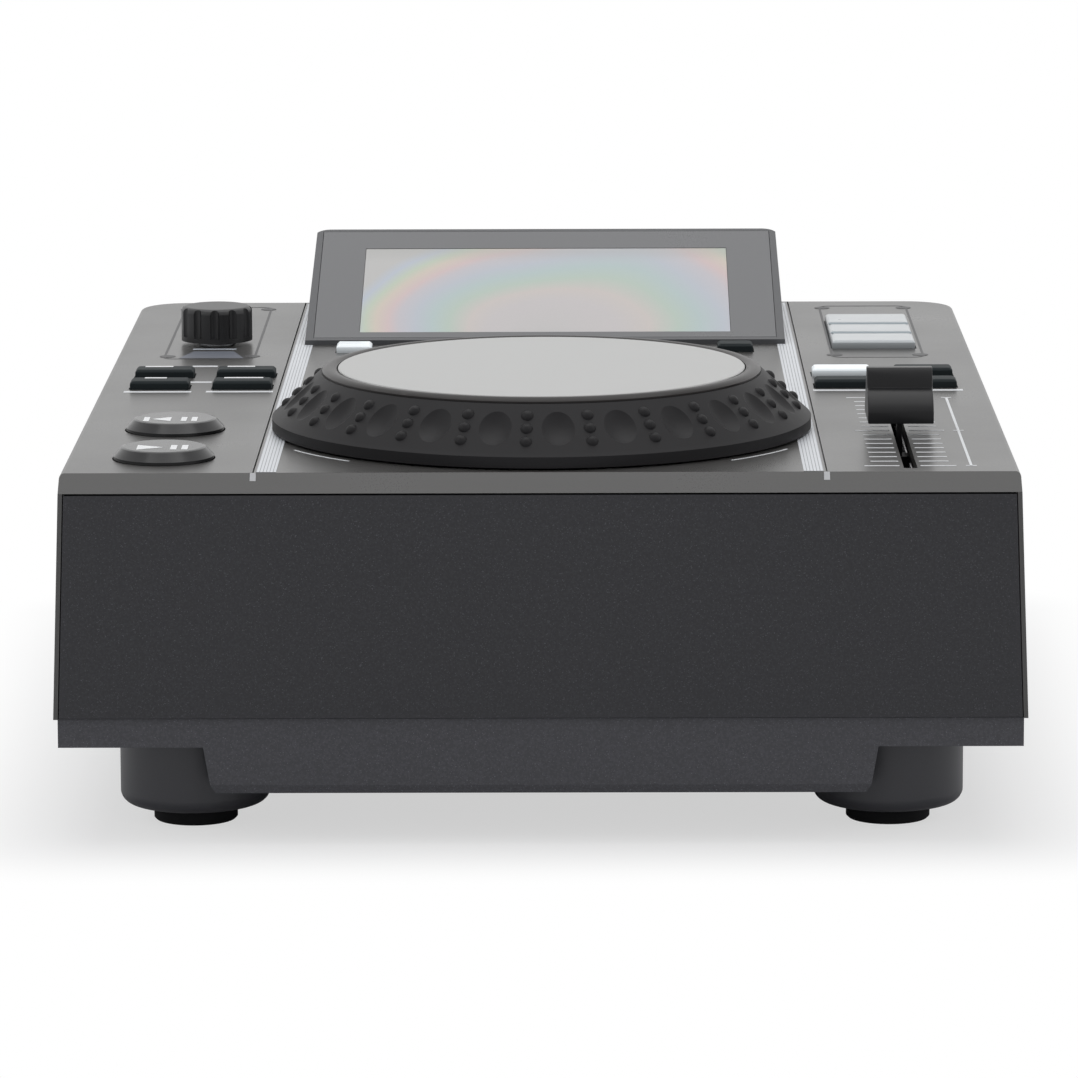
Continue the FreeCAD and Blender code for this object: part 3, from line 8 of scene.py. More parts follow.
import bmesh
import bpy
from mathutils import Matrix, Vector


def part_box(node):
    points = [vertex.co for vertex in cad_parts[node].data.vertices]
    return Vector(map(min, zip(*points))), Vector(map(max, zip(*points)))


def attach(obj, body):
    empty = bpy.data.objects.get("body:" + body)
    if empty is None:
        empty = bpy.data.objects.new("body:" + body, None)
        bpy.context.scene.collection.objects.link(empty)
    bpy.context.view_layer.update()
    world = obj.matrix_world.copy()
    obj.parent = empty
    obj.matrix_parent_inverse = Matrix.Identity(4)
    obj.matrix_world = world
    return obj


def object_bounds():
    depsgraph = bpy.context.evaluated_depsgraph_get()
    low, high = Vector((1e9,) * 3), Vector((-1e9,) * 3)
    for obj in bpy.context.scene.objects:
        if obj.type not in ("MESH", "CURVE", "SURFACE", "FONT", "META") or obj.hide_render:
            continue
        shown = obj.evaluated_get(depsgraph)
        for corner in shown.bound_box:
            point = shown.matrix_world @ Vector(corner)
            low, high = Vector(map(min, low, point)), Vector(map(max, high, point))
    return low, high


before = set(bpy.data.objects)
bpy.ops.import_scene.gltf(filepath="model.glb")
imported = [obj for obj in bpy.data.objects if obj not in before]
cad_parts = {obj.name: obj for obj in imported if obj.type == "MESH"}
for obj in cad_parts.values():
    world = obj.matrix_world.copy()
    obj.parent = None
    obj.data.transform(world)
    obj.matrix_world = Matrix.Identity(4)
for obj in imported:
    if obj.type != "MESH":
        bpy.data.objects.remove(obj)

bl_info = {
    "name": "Tabletop Deck Player",
    "version": (1, 0, 0),
    "blender": (4, 5, 0),
    "location": "View3D > Sidebar > Deck Player",
    "description": "Dresses the packed deck player with finishes, printed marks and small fittings",
    "category": "Object",
}

CAD_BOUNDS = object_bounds()
MM = 0.001


def middle(name):
    """Middle of a node's box at rest."""
    low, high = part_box(name)
    return [(low[axis] + high[axis]) / 2 for axis in range(3)]


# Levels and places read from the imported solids
PANEL_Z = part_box("centre_panel")[1].z
FRONT_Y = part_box("front_fascia")[0].y
REAR_PLATE_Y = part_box("rear_connector_plate")[1].y
JOG_X, JOG_Y, _ = middle("jog_touch_plate")
JOG_RADIUS = (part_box("jog_ring")[1].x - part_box("jog_ring")[0].x) / 2

# The camera that the photograph was taken with, fitted to the object's edges
PHOTO_SIZE = 1078
FOCAL_PIXELS = 6357.341
SENSOR_WIDTH = 36.0
CAMERA_PLACE = Vector((0.009962, -1.522335, 0.312389))
CAMERA_PITCH = 0.174304
CAMERA_YAW = -0.0073553
CAMERA_ROLL = -0.0035296

# Where the lamps point, in the lower middle of the player
LAMP_TARGET = Vector((0.0, 0.0, 0.05))

# Caps by place, and the ones that are white
PADS = tuple(f"{side}_pad_{row}_{place}" for side in ("left", "right") for row in ("front", "rear")
             for place in ("inner", "outer"))
DECK_ROW = tuple(f"deck_button_{number}" for number in range(1, 6))
MODE_KEYS = tuple(f"mode_button_{number}" for number in range(1, 4))
WHITE_CAPS = ("right_pad_rear_inner", "deck_button_1")


def back(distance):
    """Y of a place that many millimetres behind the front face."""
    return FRONT_Y + distance * MM


def linear(value):
    """Scene-linear value of one sRGB channel given from 0 to 255."""
    share = value / 255
    return share / 12.92 if share <= 0.04045 else ((share + 0.055) / 1.055) ** 2.4


def shade(red, green, blue):
    """Linear RGBA colour from sRGB channels given from 0 to 255."""
    return (linear(red), linear(green), linear(blue), 1.0)


def scaled(colour, factor):
    """The colour made lighter or darker."""
    return tuple(min(channel * factor, 1.0) for channel in colour[:3]) + (1.0,)


def colour_property(name, description, colour):
    """Colour setting with its default in linear values."""
    return bpy.props.FloatVectorProperty(
        name=name, description=description, subtype="COLOR", size=3, min=0.0, max=1.0, default=colour[:3])


def length_property(name, description, millimetres):
    """Length setting with its default in millimetres."""
    return bpy.props.FloatProperty(
        name=name, description=description, subtype="DISTANCE", unit="LENGTH", default=millimetres * MM)


class DECK_PG_colours(bpy.types.PropertyGroup):
    """Colours of the player's finishes."""

    housing: colour_property("Housing", "Satin top cover and centre panel", shade(62, 61, 60))
    fascia: colour_property("Fascia", "Fine textured front panel and tray", shade(46, 46, 49))
    pod: colour_property("Pod", "Semi-gloss screen housing", shade(84, 85, 88))
    jog_rubber: colour_property("Jog rubber", "Moulded outer ring of the wheel", shade(22, 21, 23))
    jog_plate: colour_property("Jog plate", "Fine matte touch plate", shade(200, 200, 198))
    jog_trim: colour_property("Jog trim", "Satin ring around the touch plate", shade(26, 22, 21))
    gloss_black: colour_property("Gloss black", "Button caps and feet", shade(18, 18, 20))
    satin_black: colour_property("Satin black", "Fader cap, knob and plastic connectors", shade(18, 18, 21))
    pad_rubber: colour_property("Pad rubber", "Matte pads and row buttons", shade(34, 40, 42))
    lit: colour_property("Lit caps", "Backlit white caps", shade(232, 238, 241))
    ink: colour_property("Print", "White printed marks", shade(232, 234, 236))
    board: colour_property("Circuit board", "Lacquered boards inside", shade(22, 92, 52))


class DECK_PG_sizes(bpy.types.PropertyGroup):
    """Sizes of the printed marks and the grain."""

    ink_height: length_property("Print height", "How far the printed marks stand over the panel", 0.05)
    line_width: length_property("Line width", "Width of the thin printed lines", 0.6)
    scale_line: length_property("Scale line", "Depth of the fader scale's lines", 0.85)
    grain: length_property("Grain", "Size of the moulded grain", 0.35)
    edge_round: length_property("Edge round", "Rounding of the caps' edges", 0.35)


def colours():
    """Colour settings of the scene."""
    return bpy.context.scene.deck_colours


def sizes():
    """Size settings of the scene."""
    return bpy.context.scene.deck_sizes


def rgba(colour):
    """A colour setting as linear RGBA."""
    return (colour[0], colour[1], colour[2], 1.0)


class Wire:
    """Output socket of a shader node, so that arithmetic on values adds Math nodes."""

    def __init__(self, paint, socket):
        self.paint = paint
        self.socket = socket

    def maths(self, operation, first, second=0.0):
        """Math node on one or two values."""
        return self.paint.node("ShaderNodeMath", {"operation": operation}, {0: first, 1: second})

    def __add__(self, other):
        return self.maths("ADD", self, other)

    __radd__ = __add__

    def __sub__(self, other):
        return self.maths("SUBTRACT", self, other)

    def __rsub__(self, other):
        return self.maths("SUBTRACT", other, self)

    def __mul__(self, other):
        return self.maths("MULTIPLY", self, other)

    __rmul__ = __mul__

    def __truediv__(self, other):
        return self.maths("DIVIDE", self, other)

    def __pow__(self, other):
        return self.maths("POWER", self, other)

    def __abs__(self):
        return self.maths("ABSOLUTE", self)


class Paint:
    """Node tree under construction, of a new material or of the world."""

    def __init__(self, name, kind="materials"):
        self.kind = kind
        self.owner = getattr(bpy.data, kind).new(name)
        self.owner.use_nodes = True
        self.tree = self.owner.node_tree
        self.tree.nodes.clear()

    def node(self, kind, settings=None, inputs=None, output=0):
        """Add a node, set its settings first and then its sockets, and return one of its outputs, if any."""
        made = self.tree.nodes.new(kind)
        for key, value in (settings or {}).items():
            if key == "stops":
                self.set_stops(made.color_ramp, value)
            else:
                setattr(made, key, value)
        for key, value in (inputs or {}).items():
            if isinstance(value, Wire):
                self.tree.links.new(value.socket, made.inputs[key])
            else:
                made.inputs[key].default_value = value
        return Wire(self, made.outputs[output]) if made.outputs else None

    def set_stops(self, ramp, stops):
        """Give a colour ramp its stops as (position, colour)."""
        while len(ramp.elements) > 1:
            ramp.elements.remove(ramp.elements[-1])
        ramp.elements[0].position, ramp.elements[0].color = stops[0]
        for position, colour in stops[1:]:
            ramp.elements.new(position).color = colour

    @cached_property
    def place(self):
        """Place on the piece, in metres from the object's origin."""
        return self.node("ShaderNodeTexCoord", output="Object")

    def axes(self):
        """The three parts of the place as values."""
        split = self.node("ShaderNodeSeparateXYZ", inputs={0: self.place})
        return [Wire(self, socket) for socket in split.socket.node.outputs]

    def noise(self, size, detail=2.0, stretch=(1.0, 1.0, 1.0)):
        """Noise with features of about that size in metres."""
        spot = self.place
        if stretch != (1.0, 1.0, 1.0):
            spot = self.node("ShaderNodeVectorMath", {"operation": "MULTIPLY"}, {0: spot, 1: stretch})
        return self.node("ShaderNodeTexNoise", inputs={"Vector": spot, "Scale": 1 / size, "Detail": detail})

    def step(self, value, start, end):
        """0 below start, 1 above end, smooth between."""
        return self.node("ShaderNodeMapRange", {"interpolation_type": "SMOOTHSTEP"},
                         {"Value": value, "From Min": start, "From Max": end})

    def larger(self, first, second):
        """The larger of two values."""
        return first.maths("MAXIMUM", first, second)

    def light_path(self, test):
        """1 where a ray passes one of Light Path's tests."""
        return self.node("ShaderNodeLightPath", output=test)

    def mix(self, factor, first, second):
        """Mix of two colours."""
        return self.node("ShaderNodeMix", {"data_type": "RGBA"}, {0: factor, 6: first, 7: second}, output=2)

    def ramp(self, value, stops):
        """Colour ramp over a value."""
        return self.node("ShaderNodeValToRGB", {"stops": stops}, {0: value})

    def bump(self, height, depth):
        """Surface relief of that depth in metres."""
        return self.node("ShaderNodeBump", inputs={"Height": height, "Distance": depth, "Strength": 1.0})

    def finish(self, **inputs):
        """End the material in one Principled shader with these sockets, and return it."""
        named = {key.replace("_", " "): value for key, value in inputs.items()}
        self.surface(self.node("ShaderNodeBsdfPrincipled", inputs=named, output="BSDF"))
        return self.owner

    def surface(self, shader):
        """Join a shader to the surface of the material or the world."""
        end = "ShaderNodeOutputWorld" if self.kind == "worlds" else "ShaderNodeOutputMaterial"
        self.node(end, inputs={"Surface": shader})


def moulded(name, colour, roughness, coarseness=1.0, speck=0.10, depth=0.012, specular=0.5, coat=0.0):
    """Moulded or painted plastic: fine grain of a depth in millimetres, uneven in colour and gloss."""
    drift = 0.05
    paint = Paint(name)
    fine = paint.noise(sizes().grain * coarseness, detail=3.0)
    broad = paint.noise(38 * MM, detail=3.0)
    uneven = paint.mix(broad, scaled(colour, 1 - drift), scaled(colour, 1 + drift))
    grit = paint.step(fine, 0.35, 0.68)
    base = paint.mix(grit * speck, uneven, scaled(colour, 1.9))
    gloss = roughness + (broad - 0.5) * 0.10 + (fine - 0.5) * 0.08
    return paint.finish(Base_Color=base, Roughness=gloss, Specular_IOR_Level=specular, Coat_Weight=coat,
                        Coat_Roughness=0.08, Normal=paint.bump(fine, depth * MM))


def textured_paint(name, colour, roughness):
    """Fine textured dark paint with small bright sparkles, as on the front panel and the tray."""
    paint = Paint(name)
    grain = paint.noise(0.55 * MM, detail=4.0)
    spark = paint.noise(0.28 * MM, detail=1.0)
    broad = paint.noise(60 * MM, detail=2.0)
    uneven = paint.mix(broad, scaled(colour, 0.93), scaled(colour, 1.07))
    mottled = paint.mix(paint.step(grain, 0.40, 0.66) * 0.5, uneven, scaled(colour, 1.6))
    base = paint.mix(paint.step(spark, 0.66, 0.74) * 0.55, mottled, scaled(colour, 4.2))
    gloss = roughness + (grain - 0.5) * 0.2
    return paint.finish(Base_Color=base, Roughness=gloss, Specular_IOR_Level=0.35,
                        Normal=paint.bump(grain, 0.03 * MM))


def metal(name, colour, roughness, stretch=(1.0, 1.0, 1.0)):
    """Plated or turned metal with fine tool marks and a little staining."""
    paint = Paint(name)
    marks = paint.noise(0.4 * MM, detail=3.0, stretch=stretch)
    stain = paint.noise(9 * MM, detail=4.0)
    base = paint.mix(stain, scaled(colour, 0.85), scaled(colour, 1.1))
    gloss = roughness + (marks - 0.5) * 0.16 + (stain - 0.5) * 0.1
    return paint.finish(Base_Color=base, Metallic=1.0, Roughness=gloss, Normal=paint.bump(marks, 0.006 * MM))


def circuit_board(name, colour):
    """Lacquered board with copper tracks under the green."""
    paint = Paint(name)
    weave = paint.noise(0.6 * MM, detail=2.0)
    bend = paint.noise(14 * MM, detail=1.0)
    tracks = paint.node("ShaderNodeTexWave", {"wave_type": "BANDS", "bands_direction": "X"},
                        {"Vector": paint.place, "Scale": 95.0, "Distortion": 9.0, "Detail": 0.0,
                         "Detail Scale": 0.6}, output=1)
    copper = paint.step(tracks, 0.62, 0.70) * paint.step(bend, 0.35, 0.5)
    base = paint.mix(copper, colour, scaled(colour, 1.9))
    height = copper * 0.8 + weave * 0.2
    return paint.finish(Base_Color=base, Roughness=0.30 + weave * 0.1, Coat_Weight=0.4, Coat_Roughness=0.1,
                        Normal=paint.bump(height, 0.04 * MM))


def ink_paint(name, colour, roughness=0.45):
    """Screen print, also used for the painted shade and painted reflection marks: slightly uneven in cover
    and gloss.
    """
    paint = Paint(name)
    weave = paint.noise(0.25 * MM, detail=2.0)
    cover = paint.noise(3 * MM, detail=3.0)
    base = paint.mix(cover * 0.5 + weave * 0.3, colour, scaled(colour, 0.86))
    return paint.finish(Base_Color=base, Roughness=roughness + (weave - 0.5) * 0.15,
                        Normal=paint.bump(weave, 0.006 * MM))


def dress(nodes, material):
    """Put one material in every slot of these CAD nodes."""
    for name in nodes:
        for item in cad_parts[name].material_slots:
            item.material = material


def soften(nodes, width, segments=2):
    """Round the sharp edges of CAD nodes with modifiers, leaving their meshes alone."""
    for name in nodes:
        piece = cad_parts[name]
        weld = piece.modifiers.new("weld", "WELD")
        weld.merge_threshold = 0.002 * MM
        bevel = piece.modifiers.new("edge_round", "BEVEL")
        bevel.width = width
        bevel.segments = segments
        bevel.limit_method = "ANGLE"
        bevel.angle_limit = math.radians(38)
        bevel.use_clamp_overlap = True
        bevel.harden_normals = False
        normals = piece.modifiers.new("even_normals", "WEIGHTED_NORMAL")
        normals.keep_sharp = False
        normals.weight = 100


def new_object(name, shape, material):
    """Object in the scene whose mesh is the finished bmesh, in one material."""
    mesh = bpy.data.meshes.new(name)
    bmesh.ops.recalc_face_normals(shape, faces=shape.faces)
    shape.to_mesh(mesh)
    shape.free()
    mesh.materials.append(material)
    piece = bpy.data.objects.new(name, mesh)
    bpy.context.scene.collection.objects.link(piece)
    return piece


def build(name, shape, material, body, smooth=True):
    """Turn a bmesh into a named piece that rides on a body."""
    piece = new_object(name, shape, material)
    if smooth:
        piece.data.shade_smooth()
        piece.data.set_sharp_from_angle(angle=math.radians(35))
    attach(piece, body)


def add_prism(shape, outline, bottom, top):
    """Closed prism over a flat outline of (x, y) points."""
    low = [shape.verts.new((x, y, bottom)) for x, y in outline]
    high = [shape.verts.new((x, y, top)) for x, y in outline]
    shape.faces.new(low[::-1])
    shape.faces.new(high)
    count = len(outline)
    for index in range(count):
        after = (index + 1) % count
        shape.faces.new((low[index], low[after], high[after], high[index]))


def add_band(shape, outer, inner, bottom, top):
    """Closed ring prism between two outlines with as many points each."""
    count = len(outer)
    outer_low, outer_high, inner_low, inner_high = (
        [shape.verts.new((x, y, z)) for x, y in outline] for outline in (outer, inner) for z in (bottom, top))
    for index in range(count):
        after = (index + 1) % count
        shape.faces.new((outer_low[index], outer_low[after], outer_high[after], outer_high[index]))
        shape.faces.new((inner_low[after], inner_low[index], inner_high[index], inner_high[after]))
        shape.faces.new((outer_high[index], outer_high[after], inner_high[after], inner_high[index]))
        shape.faces.new((outer_low[after], outer_low[index], inner_low[index], inner_low[after]))


def bar(x_low, x_high, y_low, y_high):
    """Corner points of a flat bar."""
    return [(x_low, y_low), (x_high, y_low), (x_high, y_high), (x_low, y_high)]


def centred_bar(x, y, width, depth):
    """Corner points of a bar around its middle."""
    return bar(x - width / 2, x + width / 2, y - depth / 2, y + depth / 2)


def disc(x, y, radius, count=20):
    """Points round a circle."""
    angles = [2 * math.pi / count * index for index in range(count)]
    return [(x + radius * math.cos(angle), y + radius * math.sin(angle)) for angle in angles]


def arc_strip(x, y, radius, width, start, end, count=20):
    """Points of a flat curved strip, angles in degrees."""
    angles = [math.radians(start + (end - start) * index / count) for index in range(count + 1)]
    outer, inner = ([(x + reach * math.cos(angle), y + reach * math.sin(angle)) for angle in angles]
                    for reach in (radius + width / 2, radius - width / 2))
    return outer + inner[::-1]


def rounded(x_low, x_high, y_low, y_high, radius, count=5):
    """Points of a rectangle with round corners."""
    corners = ((x_high - radius, y_high - radius, 0), (x_low + radius, y_high - radius, 90),
               (x_low + radius, y_low + radius, 180), (x_high - radius, y_low + radius, 270))
    points = []
    for x, y, start in corners:
        for index in range(count + 1):
            angle = math.radians(start + 90 * index / count)
            points.append((x + radius * math.cos(angle), y + radius * math.sin(angle)))
    return points


def flat_marks(name, outlines, material, body="housing", level=PANEL_Z, frames=()):
    """Printed marks, and painted shade and painted reflection marks, on an upward face: thin closed prisms
    and frames seated in the surface.
    """
    seat = 0.02 * MM
    bottom, top = level - seat, level + sizes().ink_height
    shape = bmesh.new()
    for outline in outlines:
        add_prism(shape, outline, bottom, top)
    for outer, inner in frames:
        add_band(shape, outer, inner, bottom, top)
    build(name, shape, material, body, smooth=False)


class DECK_OT_housing(bpy.types.Operator):
    """Finish the cover, centre panel, fascia, tray, feet and screws"""

    bl_idname = "deck_player.housing"
    bl_label = "Housing"

    def execute(self, context):
        housing = rgba(colours().housing)
        fascia = rgba(colours().fascia)
        black = rgba(colours().gloss_black)
        dress(["top_cover"], moulded("housing_satin", housing, roughness=0.30, speck=0.08, depth=0.001,
                                     specular=0.66))
        dress(["centre_panel"], moulded("panel_satin", scaled(housing, 1.1), roughness=0.30, coarseness=0.8,
                                        speck=0.06, depth=0.0015, specular=0.72))
        dress(["front_fascia"], textured_paint("fascia_textured", fascia, roughness=0.62))
        # The tray and the rear plate take the fascia paint 1.95 times lighter: painted bounce light from the
        # floor on the lower parts.
        dress(["bottom_tray", "rear_connector_plate"],
              textured_paint("tray_painted_bounce_light", scaled(fascia, 1.95), roughness=0.60))
        dress(["feet"], moulded("foot_moulding", scaled(black, 6.0), roughness=0.42, depth=0.006))
        dress(["foot_pads"], moulded("foot_rubber", black, roughness=0.8, coarseness=1.5, depth=0.03,
                                     specular=0.25))
        dress(["case_screws"], metal("black_zinc_screws", shade(70, 70, 74), roughness=0.35))
        return {"FINISHED"}


class DECK_OT_inner(bpy.types.Operator):
    """Finish the parts inside the housing"""

    bl_idname = "deck_player.inner"
    bl_label = "Inner Parts"

    def execute(self, context):
        dress(["main_board", "control_board", "jog_sensor_board"],
              circuit_board("board_lacquer", rgba(colours().board)))
        dress(["fader_carriage"],
              moulded("carriage_black", rgba(colours().satin_black), roughness=0.5, specular=0.2))
        dress(["jog_hub", "jog_bearing_housing", "jog_encoder_disc"],
              moulded("inner_moulding", shade(60, 60, 60), roughness=0.55))
        dress(["jog_shaft", "jog_retaining_clip", "fader_guide_rods", "select_shaft", "select_plunger"],
              metal("turned_steel", shade(188, 188, 190), roughness=0.25, stretch=(1.0, 1.0, 6.0)))
        dress(["jog_bushes", "board_standoffs", "board_spacers"],
              metal("sintered_bronze", shade(190, 152, 92), roughness=0.42))
        dress(["fader_frame"], metal("blackened_sheet", shade(38, 38, 40), roughness=0.55))
        dress(["lcd_module", "lcd_bracket", "select_encoder_body"],
              metal("zinc_sheet", shade(176, 179, 182), roughness=0.38, stretch=(1.0, 8.0, 1.0)))
        dress(["tact_switches"], moulded("switch_moulding", shade(36, 36, 38), roughness=0.5))
        return {"FINISHED"}


class DECK_OT_jog(bpy.types.Operator):
    """Finish the jog wheel"""

    bl_idname = "deck_player.jog"
    bl_label = "Jog Wheel"

    def execute(self, context):
        dress(["jog_ring"], moulded("jog_rubber_feel", rgba(colours().jog_rubber), roughness=0.50,
                                    coarseness=1.2, speck=0.12, depth=0.012, specular=0.22))
        dress(["jog_trim_ring"], moulded("jog_trim_satin", rgba(colours().jog_trim), roughness=0.33,
                                         depth=0.001, specular=0.25))
        dress(["jog_touch_plate"], self.touch_plate(rgba(colours().jog_plate)))
        return {"FINISHED"}

    def touch_plate(self, colour):
        """Fine matte paint, mottled at the scale of its grain."""
        paint = Paint("jog_plate_matte")
        fine = paint.noise(0.30 * MM, detail=3.0)
        broad = paint.noise(22 * MM, detail=3.0)
        tone = paint.mix(broad, scaled(colour, 0.97), scaled(colour, 1.03))
        base = paint.mix(paint.step(fine, 0.3, 0.7) * 0.35, scaled(colour, 0.86), tone)
        gloss = 0.42 + (fine - 0.5) * 0.2
        return paint.finish(Base_Color=base, Roughness=gloss, Specular_IOR_Level=0.5,
                            Normal=paint.bump(fine, 0.012 * MM))


class DECK_OT_pod(bpy.types.Operator):
    """Finish the screen pod, its glossy frame and the display window"""

    bl_idname = "deck_player.pod"
    bl_label = "Screen Pod"

    def execute(self, context):
        pod = rgba(colours().pod)
        dress(["screen_pod"], moulded("pod_semi_gloss", scaled(pod, 0.8), roughness=0.42, coarseness=0.7,
                                      speck=0.05, depth=0.004))
        dress(["screen_bezel"], moulded("bezel_gloss", pod, roughness=0.30, coarseness=0.7, speck=0.04,
                                        depth=0.002, coat=0.2))
        dress(["screen_glass"], self.display())
        return {"FINISHED"}

    def display(self):
        """Blank display behind its pane, with the soft rainbow that its film throws back painted into its
        colour, and painted shade along its top.
        """
        paint = Paint("display_film")
        low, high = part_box("screen_glass")
        across, along, _ = paint.axes()
        aside = across / high.x
        upward = (along - low.y) / (high.y - low.y)
        ripple = paint.noise(45 * MM, detail=1.0)
        oval_width, oval_height = 0.85, 0.96
        oval = ((aside / oval_width) ** 2 + (upward / oval_height) ** 2) ** 0.5
        ring = oval * (1 - paint.step(aside, -0.2, 0.6) * 0.26) + (ripple - 0.5) * 0.12
        stops = [
            (0.00, shade(194, 190, 189)), (0.28, shade(199, 192, 192)), (0.38, shade(204, 194, 188)),
            (0.48, shade(180, 198, 184)), (0.56, shade(176, 196, 195)), (0.64, shade(184, 191, 202)),
            (0.72, shade(196, 190, 197)), (0.77, shade(212, 187, 186)), (0.83, shade(211, 197, 180)),
            (0.88, shade(191, 203, 180)), (0.94, shade(182, 191, 205)), (1.00, shade(189, 187, 185)),
        ]
        ring_to_ramp = 0.765
        film = paint.ramp(ring * ring_to_ramp, stops)
        dots = paint.noise(0.5 * MM, detail=1.0)
        # Colour darker towards the top of the window: painted shade.
        edge = paint.mix(paint.step(upward, 0.80, 1.0) * 0.5, film, shade(168, 168, 163))
        base = paint.mix(dots * 0.14, edge, shade(150, 156, 154))
        gloss = 0.24 + (dots - 0.5) * 0.06
        return paint.finish(Base_Color=base, Roughness=gloss, Coat_Weight=0.4, Coat_Roughness=0.08,
                            Normal=paint.bump(dots, 0.001 * MM))


class DECK_OT_buttons(bpy.types.Operator):
    """Finish the button caps, print their marks and paint shade along the mode keys' gaps"""

    bl_idname = "deck_player.buttons"
    bl_label = "Buttons"

    def execute(self, context):
        gloss = moulded("cap_gloss", rgba(colours().gloss_black), roughness=0.22, speck=0.03, depth=0.001)
        rubber = moulded("pad_rubber_feel", rgba(colours().pad_rubber), roughness=0.58, speck=0.06,
                         depth=0.006, specular=0.12)
        dark_caps = [name for name in PADS + DECK_ROW if name not in WHITE_CAPS]
        dress(["play_button", "cue_button"], gloss)
        dress(dark_caps, rubber)
        dress(WHITE_CAPS, self.lit_cap("cap_milky", tone=1.0, light=0.55))
        dress(MODE_KEYS, self.lit_cap("key_milky", tone=0.62, light=0.03))
        soften(dark_caps + list(WHITE_CAPS + MODE_KEYS), sizes().edge_round)
        ink = ink_paint("cap_print", shade(250, 251, 252))
        self.round_mark("play", ink, arrow=(-5.8, 0.1, 3.2), bars=(2.4, 4.9), bar_size=(1.4, 6.0))
        self.round_mark("cue", ink, arrow=(-0.8, -5.2, 3.0), bars=(-6.4, 2.2, 4.6), bar_size=(1.3, 5.8))
        self.pad_marks(ink)
        # Painted shade of the gaps between the mode keys
        self.key_gap_shading()
        return {"FINISHED"}

    def lit_cap(self, name, tone, light):
        """Milky cap with light in it, dimmer towards its foot."""
        foot_height, foot_shade_share = 1.9 * MM, 0.62
        paint = Paint(name)
        _, _, upward = paint.axes()
        cloud = paint.noise(4 * MM, detail=2.0)
        rise = paint.step(upward, PANEL_Z, PANEL_Z + foot_height)
        lit = scaled(rgba(colours().lit), tone)
        # Base colour darker towards the foot: painted shade where the cap meets the panel.
        base = paint.mix(rise, scaled(lit, foot_shade_share), lit)
        glow = paint.mix(rise, scaled(lit, light / 3), scaled(lit, light))
        return paint.finish(Base_Color=base, Roughness=0.30 + (cloud - 0.5) * 0.1, Emission_Color=glow,
                            Emission_Strength=0.6, Coat_Weight=0.3, Coat_Roughness=0.1,
                            Normal=paint.bump(cloud, 0.01 * MM))

    def round_mark(self, name, ink, arrow, bars, bar_size):
        """Arrow and bars on a round button, in millimetres from a point in front of its middle.

        The arrow is given by its foot, its tip and half its width, the bars by their middles.
        """
        forward_shift = 2.2 * MM
        x, y, _ = middle(f"{name}_button")
        y -= forward_shift
        foot, tip, half = (value * MM for value in arrow)
        width, length = (value * MM for value in bar_size)
        outlines = [[(x + foot, y - half), (x + tip, y), (x + foot, y + half)]]
        outlines += [centred_bar(x + offset * MM, y, width, length) for offset in bars]
        flat_marks(f"{name}_mark", outlines, ink, f"{name}_button_body",
                   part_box(f"{name}_button")[1].z)

    def pad_marks(self, ink):
        """Short plain dashes along the rear edge of the left pads."""
        front, rear = 2.4 * MM, 0.9 * MM
        dashes = (
            ("left_pad_front_outer", -95.9, -90.6), ("left_pad_front_inner", -76.8, -67.4),
            ("left_pad_rear_outer", -97.0, -90.2), ("left_pad_rear_inner", -77.0, -70.3),
        )
        for name, start, end in dashes:
            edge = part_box(name)[1]
            dash = bar(start * MM, end * MM, edge.y - front, edge.y - rear)
            flat_marks(f"{name}_dash", [dash], ink, f"{name}_body", edge.z)

    def key_gap_shading(self):
        """Painted shade of the gaps between the mode keys: grey strips along the rear edges of the two front
        keys.
        """
        inset, front, rear = 1.2 * MM, 3.0 * MM, 0.4 * MM
        gap_shade = ink_paint("key_edge_painted_shade", shade(132, 146, 154))
        for name in MODE_KEYS[:2]:
            low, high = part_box(name)
            strip = bar(low.x + inset, high.x - inset, high.y - front, high.y - rear)
            flat_marks(f"{name}_shoulder", [strip], gap_shade, f"{name}_body", high.z)


